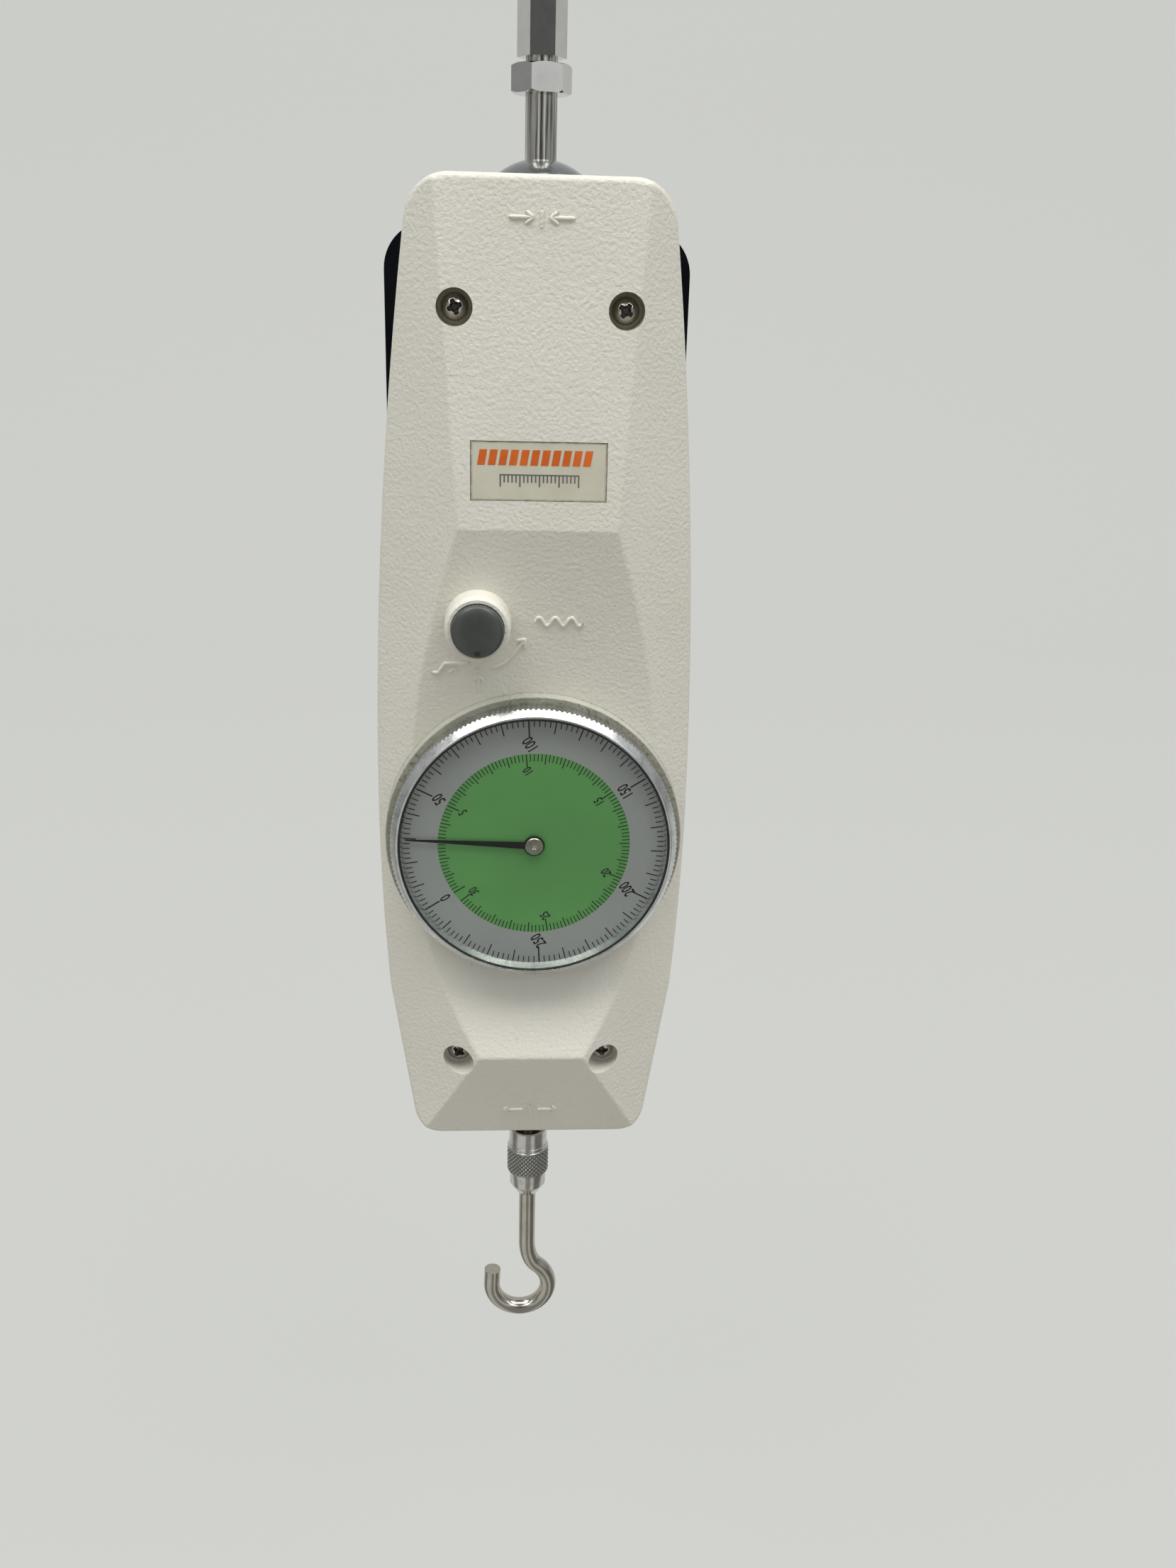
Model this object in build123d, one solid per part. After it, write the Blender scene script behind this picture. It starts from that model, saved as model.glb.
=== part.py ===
"""Analogue push-pull force gauge, 300 N, with a hook on its pull end and a flat head on its push end.

Frame: millimetres, +Z up towards the push end, X to the right of a person who faces the dial.
The origin is the centre of the four-hole mounting pattern on the rear face, which is the plane Y = 0.
The dial faces -Y, so a height here is a distance in front of the rear face, and Y is minus that height.
Pushing the head or pulling the hook moves the load shaft down, towards -Z.
"""
from build123d import *
import math
import os

# ---- casing ----
wall = 2.5                      # thickness of both shells
split_height = 15.0             # joint face between the rear cover and the front cover
case_width = 61.6               # rear cover, parallel sides
case_length = 179.0
case_corner = 9.0
floor = 3.0                     # rear wall of the rear cover
rear_round = 2.0
dial_z = -31.5                  # dial centre, below the mounting pattern's centre
dial_height = 45.0              # printed face of the dial

# ---- front cover, seen from the front ----
push_overhang = 7.7             # how far the front cover reaches past the rear cover
pull_overhang = 16.1
push_end_z = case_length / 2 + push_overhang
pull_end_z = -case_length / 2 - pull_overhang
push_end_half = 24.3            # half widths of the outline, corners not yet rounded
shoulder_half = 30.4
shoulder_z = dial_z + 72.0
waist_half = 33.0               # widest place, beside the dial
waist_z = dial_z + 5.0
hip_half = 31.3                 # where the sides turn in towards the pull end
hip_z = dial_z - 38.0
pull_end_half = 25.3
push_corner = 8.5
pull_corner = 6.5

# ---- front cover, seen from the side: two ridges with the dial in the hollow between them ----
push_edge_height = dial_height - 4.0
push_ridge_z = dial_z + 65.0
push_ridge_height = dial_height - 1.3
hollow_height = dial_height - 7.8
pull_ridge_z = dial_z - 50.2
pull_ridge_height = dial_height + 1.2
pull_edge_height = dial_height - 6.7
crown_height = dial_height + 8.0     # where the two side facets would meet over the centre line
facet_slope = 0.6                    # fall of a side facet for each millimetre outwards
edge_round = 1.3                     # softening of the casting's ridges

# ---- dial and bezel ----
bezel_radius = 29.8
bezel_edge_height = dial_height + 0.8
lip_height = dial_height + 2.3
bevel_width = 1.5
collar_radius = 31.0                 # raised round land on the cover that the bezel turns on
collar_height = dial_height - 3.2
land_bottom = dial_height - 6.9
spigot_radius = 26.4
spigot_wall = 1.5
crystal_thickness = 0.9
crystal_radius = 28.0
dial_radius = 27.3
dial_thickness = 0.8
snap_ring_thickness = 0.8
snap_ring_radius = 27.6
groove_depth = 0.8
snap_ring_gap = 4.0

# ---- label recess ----
label_width = 26.0
label_length = 11.0
label_z = dial_z + 76.2
label_depth = 0.5
label_thickness = 0.4

# ---- knob ----
knob_x = -11.65
knob_z = dial_z + 46.25
knob_radius = 5.2
knob_height = dial_height + 5.5
knob_cap_length = 3.4
knob_dome = 0.5
boss_base_radius = 6.8
boss_top_radius = 6.5
boss_rim_radius = 5.9
boss_bevel = 1.0
boss_height = knob_height - 2.6
boss_foot = dial_height - 7.8        # inner end of the knob's bearing
knob_shaft_radius = 2.5
knob_socket = 1.6                    # how far the shaft enters the cap
cam_radius = 4.5
cam_thickness = 1.4
cam_gap = 1.1                        # between the cam and the bearing
cam_pin_past = 0.7                   # how far the cam's pin reaches past the lever
clip_radius = 3.8
clip_thickness = 0.8
cam_pin_offset = 3.0
cam_pin_radius = 0.8

# ---- load shaft and what is on it ----
shaft_radius = 3.0
shaft_height = 25.6                  # axis of the shaft in front of the rear face
shaft_top_z = push_end_z + 27.3
shaft_bottom_z = pull_end_z - 17.9
travel = 10.05                       # full scale, one turn of the pointer
push_dome_height = 3.6
nut_flats = 10.0
nut_length = 5.0
nut_clearance = 0.85                 # left above the dome at full travel
nut_z = push_end_z + push_dome_height + travel + nut_clearance
nut_turn = 10.0                      # degrees about the shaft, as it was tightened
nut_bevel = 0.7
rod_flats = 8.0
rod_gap = 1.1                        # between the nut and the extension rod
rod_z = nut_z + nut_length + rod_gap
rod_length = 12.9
head_radius = 8.0
head_length = 6.0
stud_radius = 2.5
stud_length = 5.0
coupling_top_z = pull_end_z - 6.6
coupling_band_radius = 4.5           # plain band above the knurled grip
coupling_band_length = 3.1
coupling_radius = 5.0
coupling_grip_length = 8.8
coupling_neck_radius = 4.25
coupling_neck_length = 3.95
coupling_cone_length = 2.6
coupling_nose_radius = 2.4
hook_top_z = pull_end_z - 18.4           # end of the hook's wire inside the coupling
wire_radius = 2.0
hook_shank_z = pull_end_z - 39.4         # where the straight shank begins to bend
hook_radius = 7.0                    # centre line of the hook's ring
hook_centre_x = -1.6
hook_centre_z = pull_end_z - 52.9
hook_start = 52.0                    # degrees, anticlockwise from +X
hook_sweep = 234.0
hook_tip_length = 4.15               # straight end of the wire, past the ring

push_bush_radius = 6.0
push_dome_radius = 9.0
pull_bush_radius = 5.0
pull_flange_radius = 6.0
pull_flange_length = 1.5

# ---- load spring ----
spring_seat_z = dial_z + 55.0
spring_length = 48.0
spring_wire = 2.0
spring_radius = 6.0
spring_turns = 9
collar_length = 6.0
shaft_collar_radius = 8.0
bracket_thickness = 3.0
bracket_width = 26.0
foot_length = 10.0
foot_thickness = 2.0
foot_screw_x = 9.0
foot_screw_radius = 1.0
foot_screw_head_radius = 1.9
foot_screw_head_length = 1.0
guide_pin_z = dial_z - 37.0
guide_pin_radius = 1.0
guide_pin_length = 17.0
guide_gap = 11.0                     # between the cheeks that the pin slides in
guide_cheek = 3.0
guide_length = 17.0
guide_height = 30.0
guide_tab_length = 6.0
guide_screw_x = 11.0

# ---- chassis and movement ----
chassis_thickness = 2.0
window_width = 24.0
window_length = 30.0
window_corner = 4.0
window_offset = 31.0                 # each window's centre, to either side of window_z
window_z = dial_z + 53.0
plate_height = 29.4
plate_thickness = 1.2
bridge_height = 35.4
plate_radius = 24.0
bridge_radius = 22.0
pillar_radius = 2.0
standoff_radius = 2.5
pillar_neck = 1.2
pillar_stud_length = 4.0
bridge_screw_radius = 1.0
bridge_screw_head_radius = 1.8
bridge_screw_head_length = 0.7
bridge_screw_length = 5.0
pillar_places = [(-17.0, 12.0), (-17.0, -13.0), (18.0, 8.0)]     # about the dial centre
rack_module = 0.5
rack_spare_teeth = 3                 # beyond each end of the travel
rack_flat = 2.4                      # flat on the shaft that the rack seats on, from its axis
rack_height = 23.6
rack_width = 4.0
pinion_teeth = 16
gear_module = 0.4
wheel_teeth = 50
centre_teeth = 20
wheel_height = 31.6
wheel_thickness = 0.8
centre_pinion_height = 31.2
centre_pinion_width = 1.6
addendum = 0.8                       # tooth heights in modules
dedendum = 1.1
tip_share = 0.12                     # half widths of a tooth, as shares of the pitch
root_share = 0.28
wheel_x = 8.5                        # axis of the rack pinion, about the dial centre
hold_wheel_height = 33.2
hold_wheel_thickness = 0.8
hold_wheel_radius = 5.5
arbor_radius = 0.75
wheel_arbor_radius = 1.0
hub_radius = 1.9
pointer_length = 26.7
pointer_turn = 87.3                  # degrees anticlockwise from the push end
hub_height = dial_height + 0.3
hub_length = 0.9
blade_height = dial_height + 0.5
blade_thickness = 0.2
blade_boss = 2.2
blade_root = 1.6                     # width of the pointer at its boss and at its tip
blade_tip = 0.25
dial_hole = 1.2
hairspring_turns = 4
hairspring_height = 37.4
hairspring_width = 0.8
hairspring_strip = 0.2
hairspring_inner = 1.8
hairspring_pitch = 1.4
collet_radius = 1.6
stud_post_radius = 0.8

# ---- peak-hold lever ----
lever_pivot_x = -14.0
lever_pivot_z = dial_z + 22.0
lever_width = 2.6
lever_eye_radius = 3.0
lever_pin_radius = 1.2
lever_post_radius = 2.5
lever_head_radius = 2.0
lever_head_length = 0.7
lever_top_x = knob_x - 2.25
lever_top_z = knob_z - 3.2
pad_angle = 155.0                    # of the lever's pad about the hold wheel
pad_gap = 0.1                        # lever's pad to the hold wheel

# ---- cover screws and mounting ----
screw_x = 16.0
upper_screw_z = push_end_z - 23.1
lower_screw_z = pull_end_z + 22.05
screw_seat = dial_height - 7.0
screw_radius = 1.5
screw_head_radius = 2.5
screw_head_length = 2.0
screw_end = 7.0                      # height that the screws reach down to
counterbore_radius = 3.4
post_radius = 4.6
cross_turn = 20.0
cross_length = 3.0
cross_width = 0.7
cross_depth = 1.0
mount_boss_radius = 5.0
mount_x = 18.0                       # half the pattern's width
mount_z = 30.0                       # half the pattern's length
insert_bore = 1.65                   # M4, tapping size
insert_radius = 2.8
insert_length = 6.0

# ---- fits ----
running = 0.05                       # radial clearance of a shaft in its bearing
snug = 0.1                           # clearance of a piece in its recess
free = 0.3                           # clearance of a piece that must not touch
cut = 1.0                            # how far a cutting body runs past a face


def slab(outline, low, high):
    """A flat outline seen from the front, made solid between two heights."""
    return extrude(Plane.XZ.offset(low) * outline, high - low)


def disc(x, z, radius, low, high):
    """A round piece whose axis is along Y."""
    return slab(Pos(x, z) * Circle(radius), low, high)


def ring(x, z, outer, inner, low, high):
    """A flat ring whose axis is along Y."""
    return slab(Pos(x, z) * (Circle(outer) - Circle(inner)), low, high)


def block(x, z, width, length, low, high):
    """A box, from its middle, its size seen from the front and its two heights."""
    return slab(Pos(x, z) * Rectangle(width, length), low, high)


def turned(points, x, z):
    """A body turned about an axis along Y, from (radius, height) points."""
    outline = Polyline(*[(radius, -height) for radius, height in points], close=True)
    return Pos(x, 0, z) * revolve(make_face(outline), Axis.Y)


def rod(radius, low_z, high_z):
    """A round piece about the load shaft's axis."""
    return Pos(0, -shaft_height, low_z) * extrude(Circle(radius), high_z - low_z)


def shaft_turned(points):
    """A body turned about the load shaft's axis, from (radius, z) points."""
    section = Plane.XZ * make_face(Polyline(*points, close=True))
    return Pos(0, -shaft_height, 0) * revolve(section, Axis.Z)


def hexagon(flats, turn, low_z, high_z):
    """A hexagonal bar about the load shaft's axis."""
    section = Rot(0, 0, turn) * RegularPolygon(flats / 2, 6, major_radius=False)
    return Pos(0, -shaft_height, low_z) * extrude(section, high_z - low_z)


def toothed(teeth, module, phase):
    """A spur gear's outline, with one tooth at the angle phase in degrees."""
    pitch_radius = module * teeth / 2
    step = 2 * math.pi / teeth
    corners = [(-root_share, -dedendum), (-tip_share, addendum), (tip_share, addendum), (root_share, -dedendum)]
    points = []
    for tooth in range(teeth):
        for share, rise in corners:
            angle = math.radians(phase) + step * (tooth + share)
            radius = pitch_radius + rise * module
            points.append((radius * math.cos(angle), radius * math.sin(angle)))
    return make_face(Polyline(*points, close=True))


# ---- outlines and forms of the casing ----
def cover_outline():
    """The front cover seen from the front."""
    right = ThreePointArc((push_end_half, push_end_z), (shoulder_half, shoulder_z), (waist_half, waist_z))
    right += TangentArc((waist_half, waist_z), (hip_half, hip_z), tangent=(0, -1))
    right += Line((hip_half, hip_z), (pull_end_half, pull_end_z))
    ends = Line((-push_end_half, push_end_z), (push_end_half, push_end_z))
    ends += Line((pull_end_half, pull_end_z), (-pull_end_half, pull_end_z))
    face = make_face(right + mirror(right, about=Plane.YZ) + ends)
    face = fillet(face.vertices().sort_by(Axis.Y)[-2:], push_corner)
    return fillet(face.vertices().sort_by(Axis.Y)[:2], pull_corner)


def case_outline(inset):
    """The rear cover seen from the front."""
    return RectangleRounded(case_width - 2 * inset, case_length - 2 * inset, case_corner - inset)


def inside_outline(gap):
    """The space between the walls of both shells, drawn in by a gap."""
    return offset(cover_outline(), -wall - gap) & case_outline(wall + gap)


def side_view(drop):
    """The front cover's side view, lowered by a drop, as a body right across the cover."""
    push_edge = (drop - push_edge_height, push_end_z)
    push_ridge = (drop - push_ridge_height, push_ridge_z)
    hollow = (drop - hollow_height, dial_z)
    pull_ridge = (drop - pull_ridge_height, pull_ridge_z)
    pull_edge = (drop - pull_edge_height, pull_end_z)
    front = Line(push_edge, push_ridge)
    front += TangentArc(hollow, push_ridge, tangent=(0, 1))
    front += TangentArc(hollow, pull_ridge, tangent=(0, -1))
    front += Polyline(pull_ridge, pull_edge, (0, pull_end_z), (0, push_end_z), push_edge)
    return extrude(Plane.YZ * make_face(front), case_width, both=True)


def facet_body(drop):
    """Everything behind the two sloping side facets, lowered by a drop."""
    crown = crown_height - drop
    half = crown / facet_slope
    section = make_face(Polyline((-half, 0), (0, -crown), (half, 0), close=True))
    return Pos(0, 0, pull_end_z) * extrude(section, push_end_z - pull_end_z)


def cover_form():
    """The front cover as a solid block, before it is hollowed."""
    form = slab(cover_outline(), split_height, crown_height)
    form = form & side_view(0) & facet_body(0)
    rims = form.edges().filter_by(Axis.Y, reverse=True)
    return fillet(rims.filter_by(lambda edge: edge.center().Y < -split_height - cut), edge_round)


def cavity_form():
    """The space inside the front cover."""
    form = slab(inside_outline(0), split_height, crown_height)
    return form & side_view(wall) & facet_body(wall * math.hypot(1, facet_slope))


def corner_places(x, high_z, low_z):
    return [(side * x, z) for side in (-1, 1) for z in (high_z, low_z)]


# ---- places and heights that several pieces share ----
screw_places = corner_places(screw_x, upper_screw_z, lower_screw_z)
mount_places = corner_places(mount_x, mount_z, -mount_z)
chassis_top = split_height + chassis_thickness
inside_top_z = case_length / 2 - wall
inside_bottom_z = -inside_top_z
knob_seat = knob_height - knob_cap_length
spigot_bottom = land_bottom - 2 * snap_ring_thickness
snap_ring_high = land_bottom - running
snap_ring_low = snap_ring_high - snap_ring_thickness
groove_radius = spigot_radius - groove_depth
bezel_foot = collar_height + running
dial_seat = dial_height - dial_thickness
crystal_seat = lip_height - crystal_thickness
collar_foot = crown_height - facet_slope * collar_radius - 2 * wall
plate_top = plate_height + plate_thickness
bridge_top = bridge_height + plate_thickness
pillar_centres = [(x, dial_z + z) for x, z in pillar_places]
centre_distance = gear_module * (wheel_teeth + centre_teeth) / 2
wheel_z = dial_z - math.sqrt(centre_distance ** 2 - wheel_x ** 2)
mesh_angle = math.degrees(math.atan2(dial_z - wheel_z, -wheel_x))
rack_pitch = math.pi * rack_module
rack_pitch_x = wheel_x - rack_module * pinion_teeth / 2
rack_root_x = rack_pitch_x - dedendum * rack_module
bracket_low_z = spring_seat_z - bracket_thickness
bracket_screw_z = bracket_low_z - foot_length / 2
guide_middle_z = guide_pin_z - travel / 2
guide_width = guide_gap + 2 * guide_cheek
foot_screw_places = [(side * foot_screw_x, bracket_screw_z) for side in (-1, 1)]
foot_screw_places += [(side * guide_screw_x, guide_middle_z) for side in (-1, 1)]
cam_height = boss_foot - cam_gap - cam_thickness
lever_height = hold_wheel_height
lever_top = lever_height + hold_wheel_thickness
hub_top = hub_height + hub_length
label_fall = (push_ridge_height - push_edge_height) / (push_end_z - push_ridge_z)
label_height = push_ridge_height - (label_z - push_ridge_z) * label_fall
label_tilt = math.degrees(math.atan(label_fall))
# the origin is on the floor of the label's recess and the normal points out of the cover
label_frame = Pos(0, -label_height, label_z) * Rot(90 - label_tilt, 0, 0) * Pos(0, 0, -label_depth)


# ---- casing ----
def front_cover():
    form = cover_form()
    solid = form + ring(0, dial_z, collar_radius, spigot_radius, collar_foot, collar_height)
    solid -= cavity_form()
    solid += turned([(0, boss_foot), (boss_base_radius, boss_foot), (boss_top_radius, boss_height - boss_bevel),
                     (boss_rim_radius, boss_height), (0, boss_height)], knob_x, knob_z)
    for x, z in screw_places:
        solid += disc(x, z, post_radius, chassis_top, crown_height) & form
    for x, z in screw_places:
        solid -= disc(x, z, counterbore_radius, screw_seat, crown_height)
        solid -= disc(x, z, screw_radius + snug, split_height, screw_seat)
    solid -= disc(0, dial_z, spigot_radius + running, split_height, crown_height)
    solid -= disc(0, dial_z, snap_ring_radius + free, chassis_top, land_bottom)
    solid -= disc(knob_x, knob_z, knob_shaft_radius + running, split_height, crown_height)
    solid -= disc(knob_x, knob_z, knob_radius + snug, knob_seat - snug, crown_height)
    recess = Rectangle(label_width + 2 * snug, label_length + 2 * snug)
    solid -= label_frame * extrude(recess, label_depth + cut)
    solid -= rod(push_bush_radius, inside_top_z - cut, push_end_z + cut)
    solid -= rod(pull_bush_radius, pull_end_z - cut, inside_bottom_z + cut)
    return solid


def rear_cover():
    shell = slab(case_outline(0), 0, split_height)
    shell = fillet(shell.faces().sort_by(Axis.Y)[-1].edges(), rear_round)
    solid = shell - slab(inside_outline(0), floor, split_height)
    for x, z in screw_places:
        solid += disc(x, z, post_radius, floor, split_height) & shell
    for x, z in screw_places:
        solid -= disc(x, z, screw_radius, floor, split_height)
    for x, z in mount_places:
        solid += disc(x, z, mount_boss_radius, floor, insert_length + floor)
    for x, z in mount_places:
        solid -= disc(x, z, insert_radius, 0, insert_length)
    return solid


def cover_screws():
    screws = []
    head_top = screw_seat + screw_head_length
    for x, z in screw_places:
        screw = turned([(0, screw_seat), (screw_head_radius, screw_seat),
                        (screw_head_radius, screw_seat + screw_head_length / 2),
                        (screw_head_radius - screw_head_length / 2, head_top), (0, head_top)], x, z)
        screw += disc(x, z, screw_radius, screw_end, screw_seat)
        for turn in (0, 90):
            slot = Pos(x, z) * Rot(0, 0, cross_turn + turn) * Rectangle(cross_length, cross_width)
            screw -= slab(slot, head_top - cross_depth, crown_height)
        screws.append(screw)
    return Compound(screws)


def label_plate():
    return label_frame * extrude(Rectangle(label_width, label_length), label_thickness)


def mount_inserts():
    return Compound([ring(x, z, insert_radius, insert_bore, 0, insert_length) for x, z in mount_places])


def push_bush():
    """A bearing in the casing's end, under a dome that stands out of it."""
    ball = (push_dome_radius ** 2 + push_dome_height ** 2) / (2 * push_dome_height)
    dome_top_z = push_end_z + push_dome_height
    dome = Pos(0, -shaft_height, dome_top_z - ball) * Sphere(ball)
    solid = rod(push_bush_radius, inside_top_z, push_end_z)
    solid += dome & rod(push_dome_radius, push_end_z, dome_top_z)
    return solid - rod(shaft_radius + running, inside_top_z - cut, dome_top_z + cut)


def pull_bush():
    flange_z = pull_end_z - pull_flange_length
    solid = rod(pull_bush_radius, pull_end_z, inside_bottom_z)
    solid += rod(pull_flange_radius, flange_z, pull_end_z)
    return solid - rod(shaft_radius + running, flange_z - cut, inside_bottom_z + cut)


# ---- chassis ----
def chassis_plate():
    solid = slab(inside_outline(free), split_height, chassis_top)
    for x, z in screw_places:
        solid -= disc(x, z, screw_radius + snug, split_height, chassis_top)
    for side in (-1, 1):
        window = RectangleRounded(window_width, window_length, window_corner)
        solid -= slab(Pos(0, window_z + side * window_offset) * window, split_height, chassis_top)
    for x, z in pillar_centres:
        solid -= disc(x, z, pillar_neck, split_height, chassis_top)
    solid -= disc(lever_pivot_x, lever_pivot_z, pillar_neck, split_height, chassis_top)
    solid -= disc(wheel_x, wheel_z, wheel_arbor_radius + running, split_height, chassis_top)
    for x, z in foot_screw_places:
        solid -= disc(x, z, foot_screw_radius, split_height, chassis_top)
    return solid


def spring_bracket():
    """An upright plate that the load spring stands on, with a foot screwed to the chassis."""
    top = shaft_height + spring_radius + spring_wire / 2
    middle = spring_seat_z - bracket_thickness / 2
    solid = block(0, middle, bracket_width, bracket_thickness, chassis_top, top)
    solid += block(0, bracket_screw_z, bracket_width, foot_length, chassis_top, chassis_top + foot_thickness)
    for x, z in foot_screw_places[:2]:
        solid -= disc(x, z, foot_screw_radius, chassis_top, chassis_top + foot_thickness)
    return solid - rod(shaft_radius + running, bracket_low_z - cut, spring_seat_z + cut)


def guide_block():
    """Two slotted cheeks that keep the load shaft from turning."""
    foot_top = chassis_top + foot_thickness
    tab_width = 2 * (guide_screw_x + foot_screw_head_radius)
    solid = block(0, guide_middle_z, guide_width, guide_length, chassis_top, foot_top)
    solid += block(0, guide_middle_z, tab_width, guide_tab_length, chassis_top, foot_top)
    for side in (-1, 1):
        cheek_x = side * (guide_gap + guide_cheek) / 2
        solid += block(cheek_x, guide_middle_z, guide_cheek, guide_length, chassis_top, guide_height)
    for x, z in foot_screw_places[2:]:
        solid -= disc(x, z, foot_screw_radius, chassis_top, foot_top)
    slot = Rot(0, 0, 90) * SlotCenterToCenter(travel, 2 * (guide_pin_radius + running))
    slot = Plane.YZ * Pos(-shaft_height, guide_middle_z) * slot
    return solid - extrude(slot, guide_width, both=True)


def foot_screws():
    screws = []
    seat = chassis_top + foot_thickness
    for x, z in foot_screw_places:
        screw = disc(x, z, foot_screw_head_radius, seat, seat + foot_screw_head_length)
        screws.append(screw + disc(x, z, foot_screw_radius, split_height, seat))
    return Compound(screws)


def load_spring():
    pitch = (spring_length - spring_wire) / spring_turns
    path = Helix(pitch, spring_length - spring_wire, spring_radius)
    section = Plane(path @ 0, z_dir=path % 0) * Circle(spring_wire / 2)
    spring = sweep(section, path, is_frenet=True)
    return Pos(0, -shaft_height, spring_seat_z + spring_wire / 2) * spring


# ---- movement, fixed pieces ----
def movement_plate():
    solid = disc(0, dial_z, plate_radius, plate_height, plate_top)
    for x, z in pillar_centres:
        solid -= disc(x, z, pillar_neck, plate_height, plate_top)
    solid -= disc(lever_pivot_x, lever_pivot_z, lever_post_radius + free, plate_height, plate_top)
    solid -= disc(wheel_x, wheel_z, wheel_arbor_radius + running, plate_height, plate_top)
    return solid - disc(0, dial_z, arbor_radius + running, plate_height, plate_top)


def movement_bridge():
    solid = disc(0, dial_z, bridge_radius, bridge_height, bridge_top)
    for x, z in pillar_centres:
        solid -= disc(x, z, bridge_screw_radius, bridge_height, bridge_top)
    solid -= disc(wheel_x, wheel_z, wheel_arbor_radius + running, bridge_height, bridge_top)
    return solid - disc(0, dial_z, arbor_radius + running, bridge_height, bridge_top)


def standoffs():
    posts = []
    for x, z in pillar_centres:
        post = disc(x, z, standoff_radius, chassis_top, plate_height)
        post += disc(x, z, pillar_neck, split_height, chassis_top)
        posts.append(post - disc(x, z, pillar_neck, plate_top - pillar_stud_length, plate_height))
    return Compound(posts)


def pillars():
    posts = []
    for x, z in pillar_centres:
        post = disc(x, z, pillar_radius, plate_top, bridge_height)
        post += disc(x, z, pillar_neck, plate_top - pillar_stud_length, plate_top)
        posts.append(post - disc(x, z, bridge_screw_radius, bridge_top - bridge_screw_length, bridge_height))
    return Compound(posts)


def bridge_screws():
    screws = []
    for x, z in pillar_centres:
        screw = disc(x, z, bridge_screw_head_radius, bridge_top, bridge_top + bridge_screw_head_length)
        screws.append(screw + disc(x, z, bridge_screw_radius, bridge_top - bridge_screw_length, bridge_top))
    return Compound(screws)


def lever_post():
    collar = lever_height - running
    head = lever_top + running
    points = [(0, split_height), (pillar_neck, split_height), (pillar_neck, chassis_top),
              (lever_post_radius, chassis_top), (lever_post_radius, collar), (lever_pin_radius, collar),
              (lever_pin_radius, head), (lever_head_radius, head),
              (lever_head_radius, head + lever_head_length), (0, head + lever_head_length)]
    return turned(points, lever_pivot_x, lever_pivot_z)


def spiral_point(turn, side):
    radius = hairspring_inner + hairspring_pitch * turn + side * hairspring_strip / 2
    angle = 2 * math.pi * turn
    return (radius * math.cos(angle), radius * math.sin(angle))


def hairspring():
    steps = 12 * hairspring_turns
    outer = [spiral_point(step / 12, 1) for step in range(steps + 1)]
    inner = [spiral_point(step / 12, -1) for step in range(steps + 1)]
    edges = Spline(*outer) + Spline(*inner)
    edges += Line(outer[0], inner[0])
    edges += Line(outer[-1], inner[-1])
    strip = Pos(0, dial_z) * make_face(edges)
    stud_x = hairspring_inner + hairspring_pitch * hairspring_turns
    stud_top = hairspring_height + hairspring_width
    solid = slab(strip, hairspring_height, stud_top)
    return solid + disc(stud_x, dial_z, stud_post_radius, bridge_top, stud_top)


# ---- load shaft and what moves with it ----
rack_middle_z = wheel_z + travel / 2
rack_length = travel + 2 * rack_spare_teeth * rack_pitch


def load_shaft():
    solid = rod(shaft_radius, shaft_bottom_z, shaft_top_z)
    flat_width = 2 * shaft_radius
    solid -= block(rack_flat + flat_width / 2, rack_middle_z, flat_width, rack_length,
                   shaft_height - flat_width, shaft_height + flat_width)
    return solid - guide_pin()


def rack():
    teeth = int(rack_length / rack_pitch / 2)
    high = rack_height + rack_width
    body = Pos((rack_flat + rack_root_x) / 2, rack_middle_z) * Rectangle(rack_root_x - rack_flat, rack_length)
    for number in range(-teeth, teeth + 1):
        z = wheel_z + (number + 0.5) * rack_pitch + int(travel / rack_pitch / 2) * rack_pitch
        low_root = (rack_root_x, z - root_share * rack_pitch)
        low_tip = (rack_pitch_x + addendum * rack_module, z - tip_share * rack_pitch)
        high_tip = (low_tip[0], z + tip_share * rack_pitch)
        high_root = (rack_root_x, z + root_share * rack_pitch)
        body += make_face(Polyline(low_root, low_tip, high_tip, high_root, close=True))
    whole = block(rack_pitch_x, rack_middle_z, 2 * shaft_radius, rack_length, rack_height, high)
    return slab(body, rack_height, high) & whole


def shaft_collar():
    low_z = spring_seat_z + spring_length
    return rod(shaft_collar_radius, low_z, low_z + collar_length) - rod(shaft_radius, low_z, low_z + collar_length)


def guide_pin():
    pin = Rot(0, 90, 0) * extrude(Circle(guide_pin_radius), guide_pin_length / 2, both=True)
    return Pos(0, -shaft_height, guide_pin_z) * pin


def lock_nut():
    corner = nut_flats / math.sqrt(3)
    high_z = nut_z + nut_length
    bevel = shaft_turned([(0, nut_z), (corner - nut_bevel, nut_z), (corner, nut_z + nut_bevel / 2),
                          (corner, high_z - nut_bevel / 2), (corner - nut_bevel, high_z), (0, high_z)])
    solid = hexagon(nut_flats, nut_turn, nut_z, high_z) & bevel
    return solid - rod(shaft_radius, nut_z, high_z)


def extension_rod():
    high_z = rod_z + rod_length
    solid = hexagon(rod_flats, 0, rod_z, high_z) - rod(shaft_radius, rod_z, shaft_top_z)
    return solid - rod(stud_radius, high_z - stud_length, high_z)


def push_head():
    low_z = rod_z + rod_length
    solid = rod(head_radius, low_z, low_z + head_length)
    solid = chamfer(solid.edges().filter_by(GeomType.CIRCLE), nut_bevel)
    return solid + rod(stud_radius, low_z - stud_length, low_z)


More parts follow.
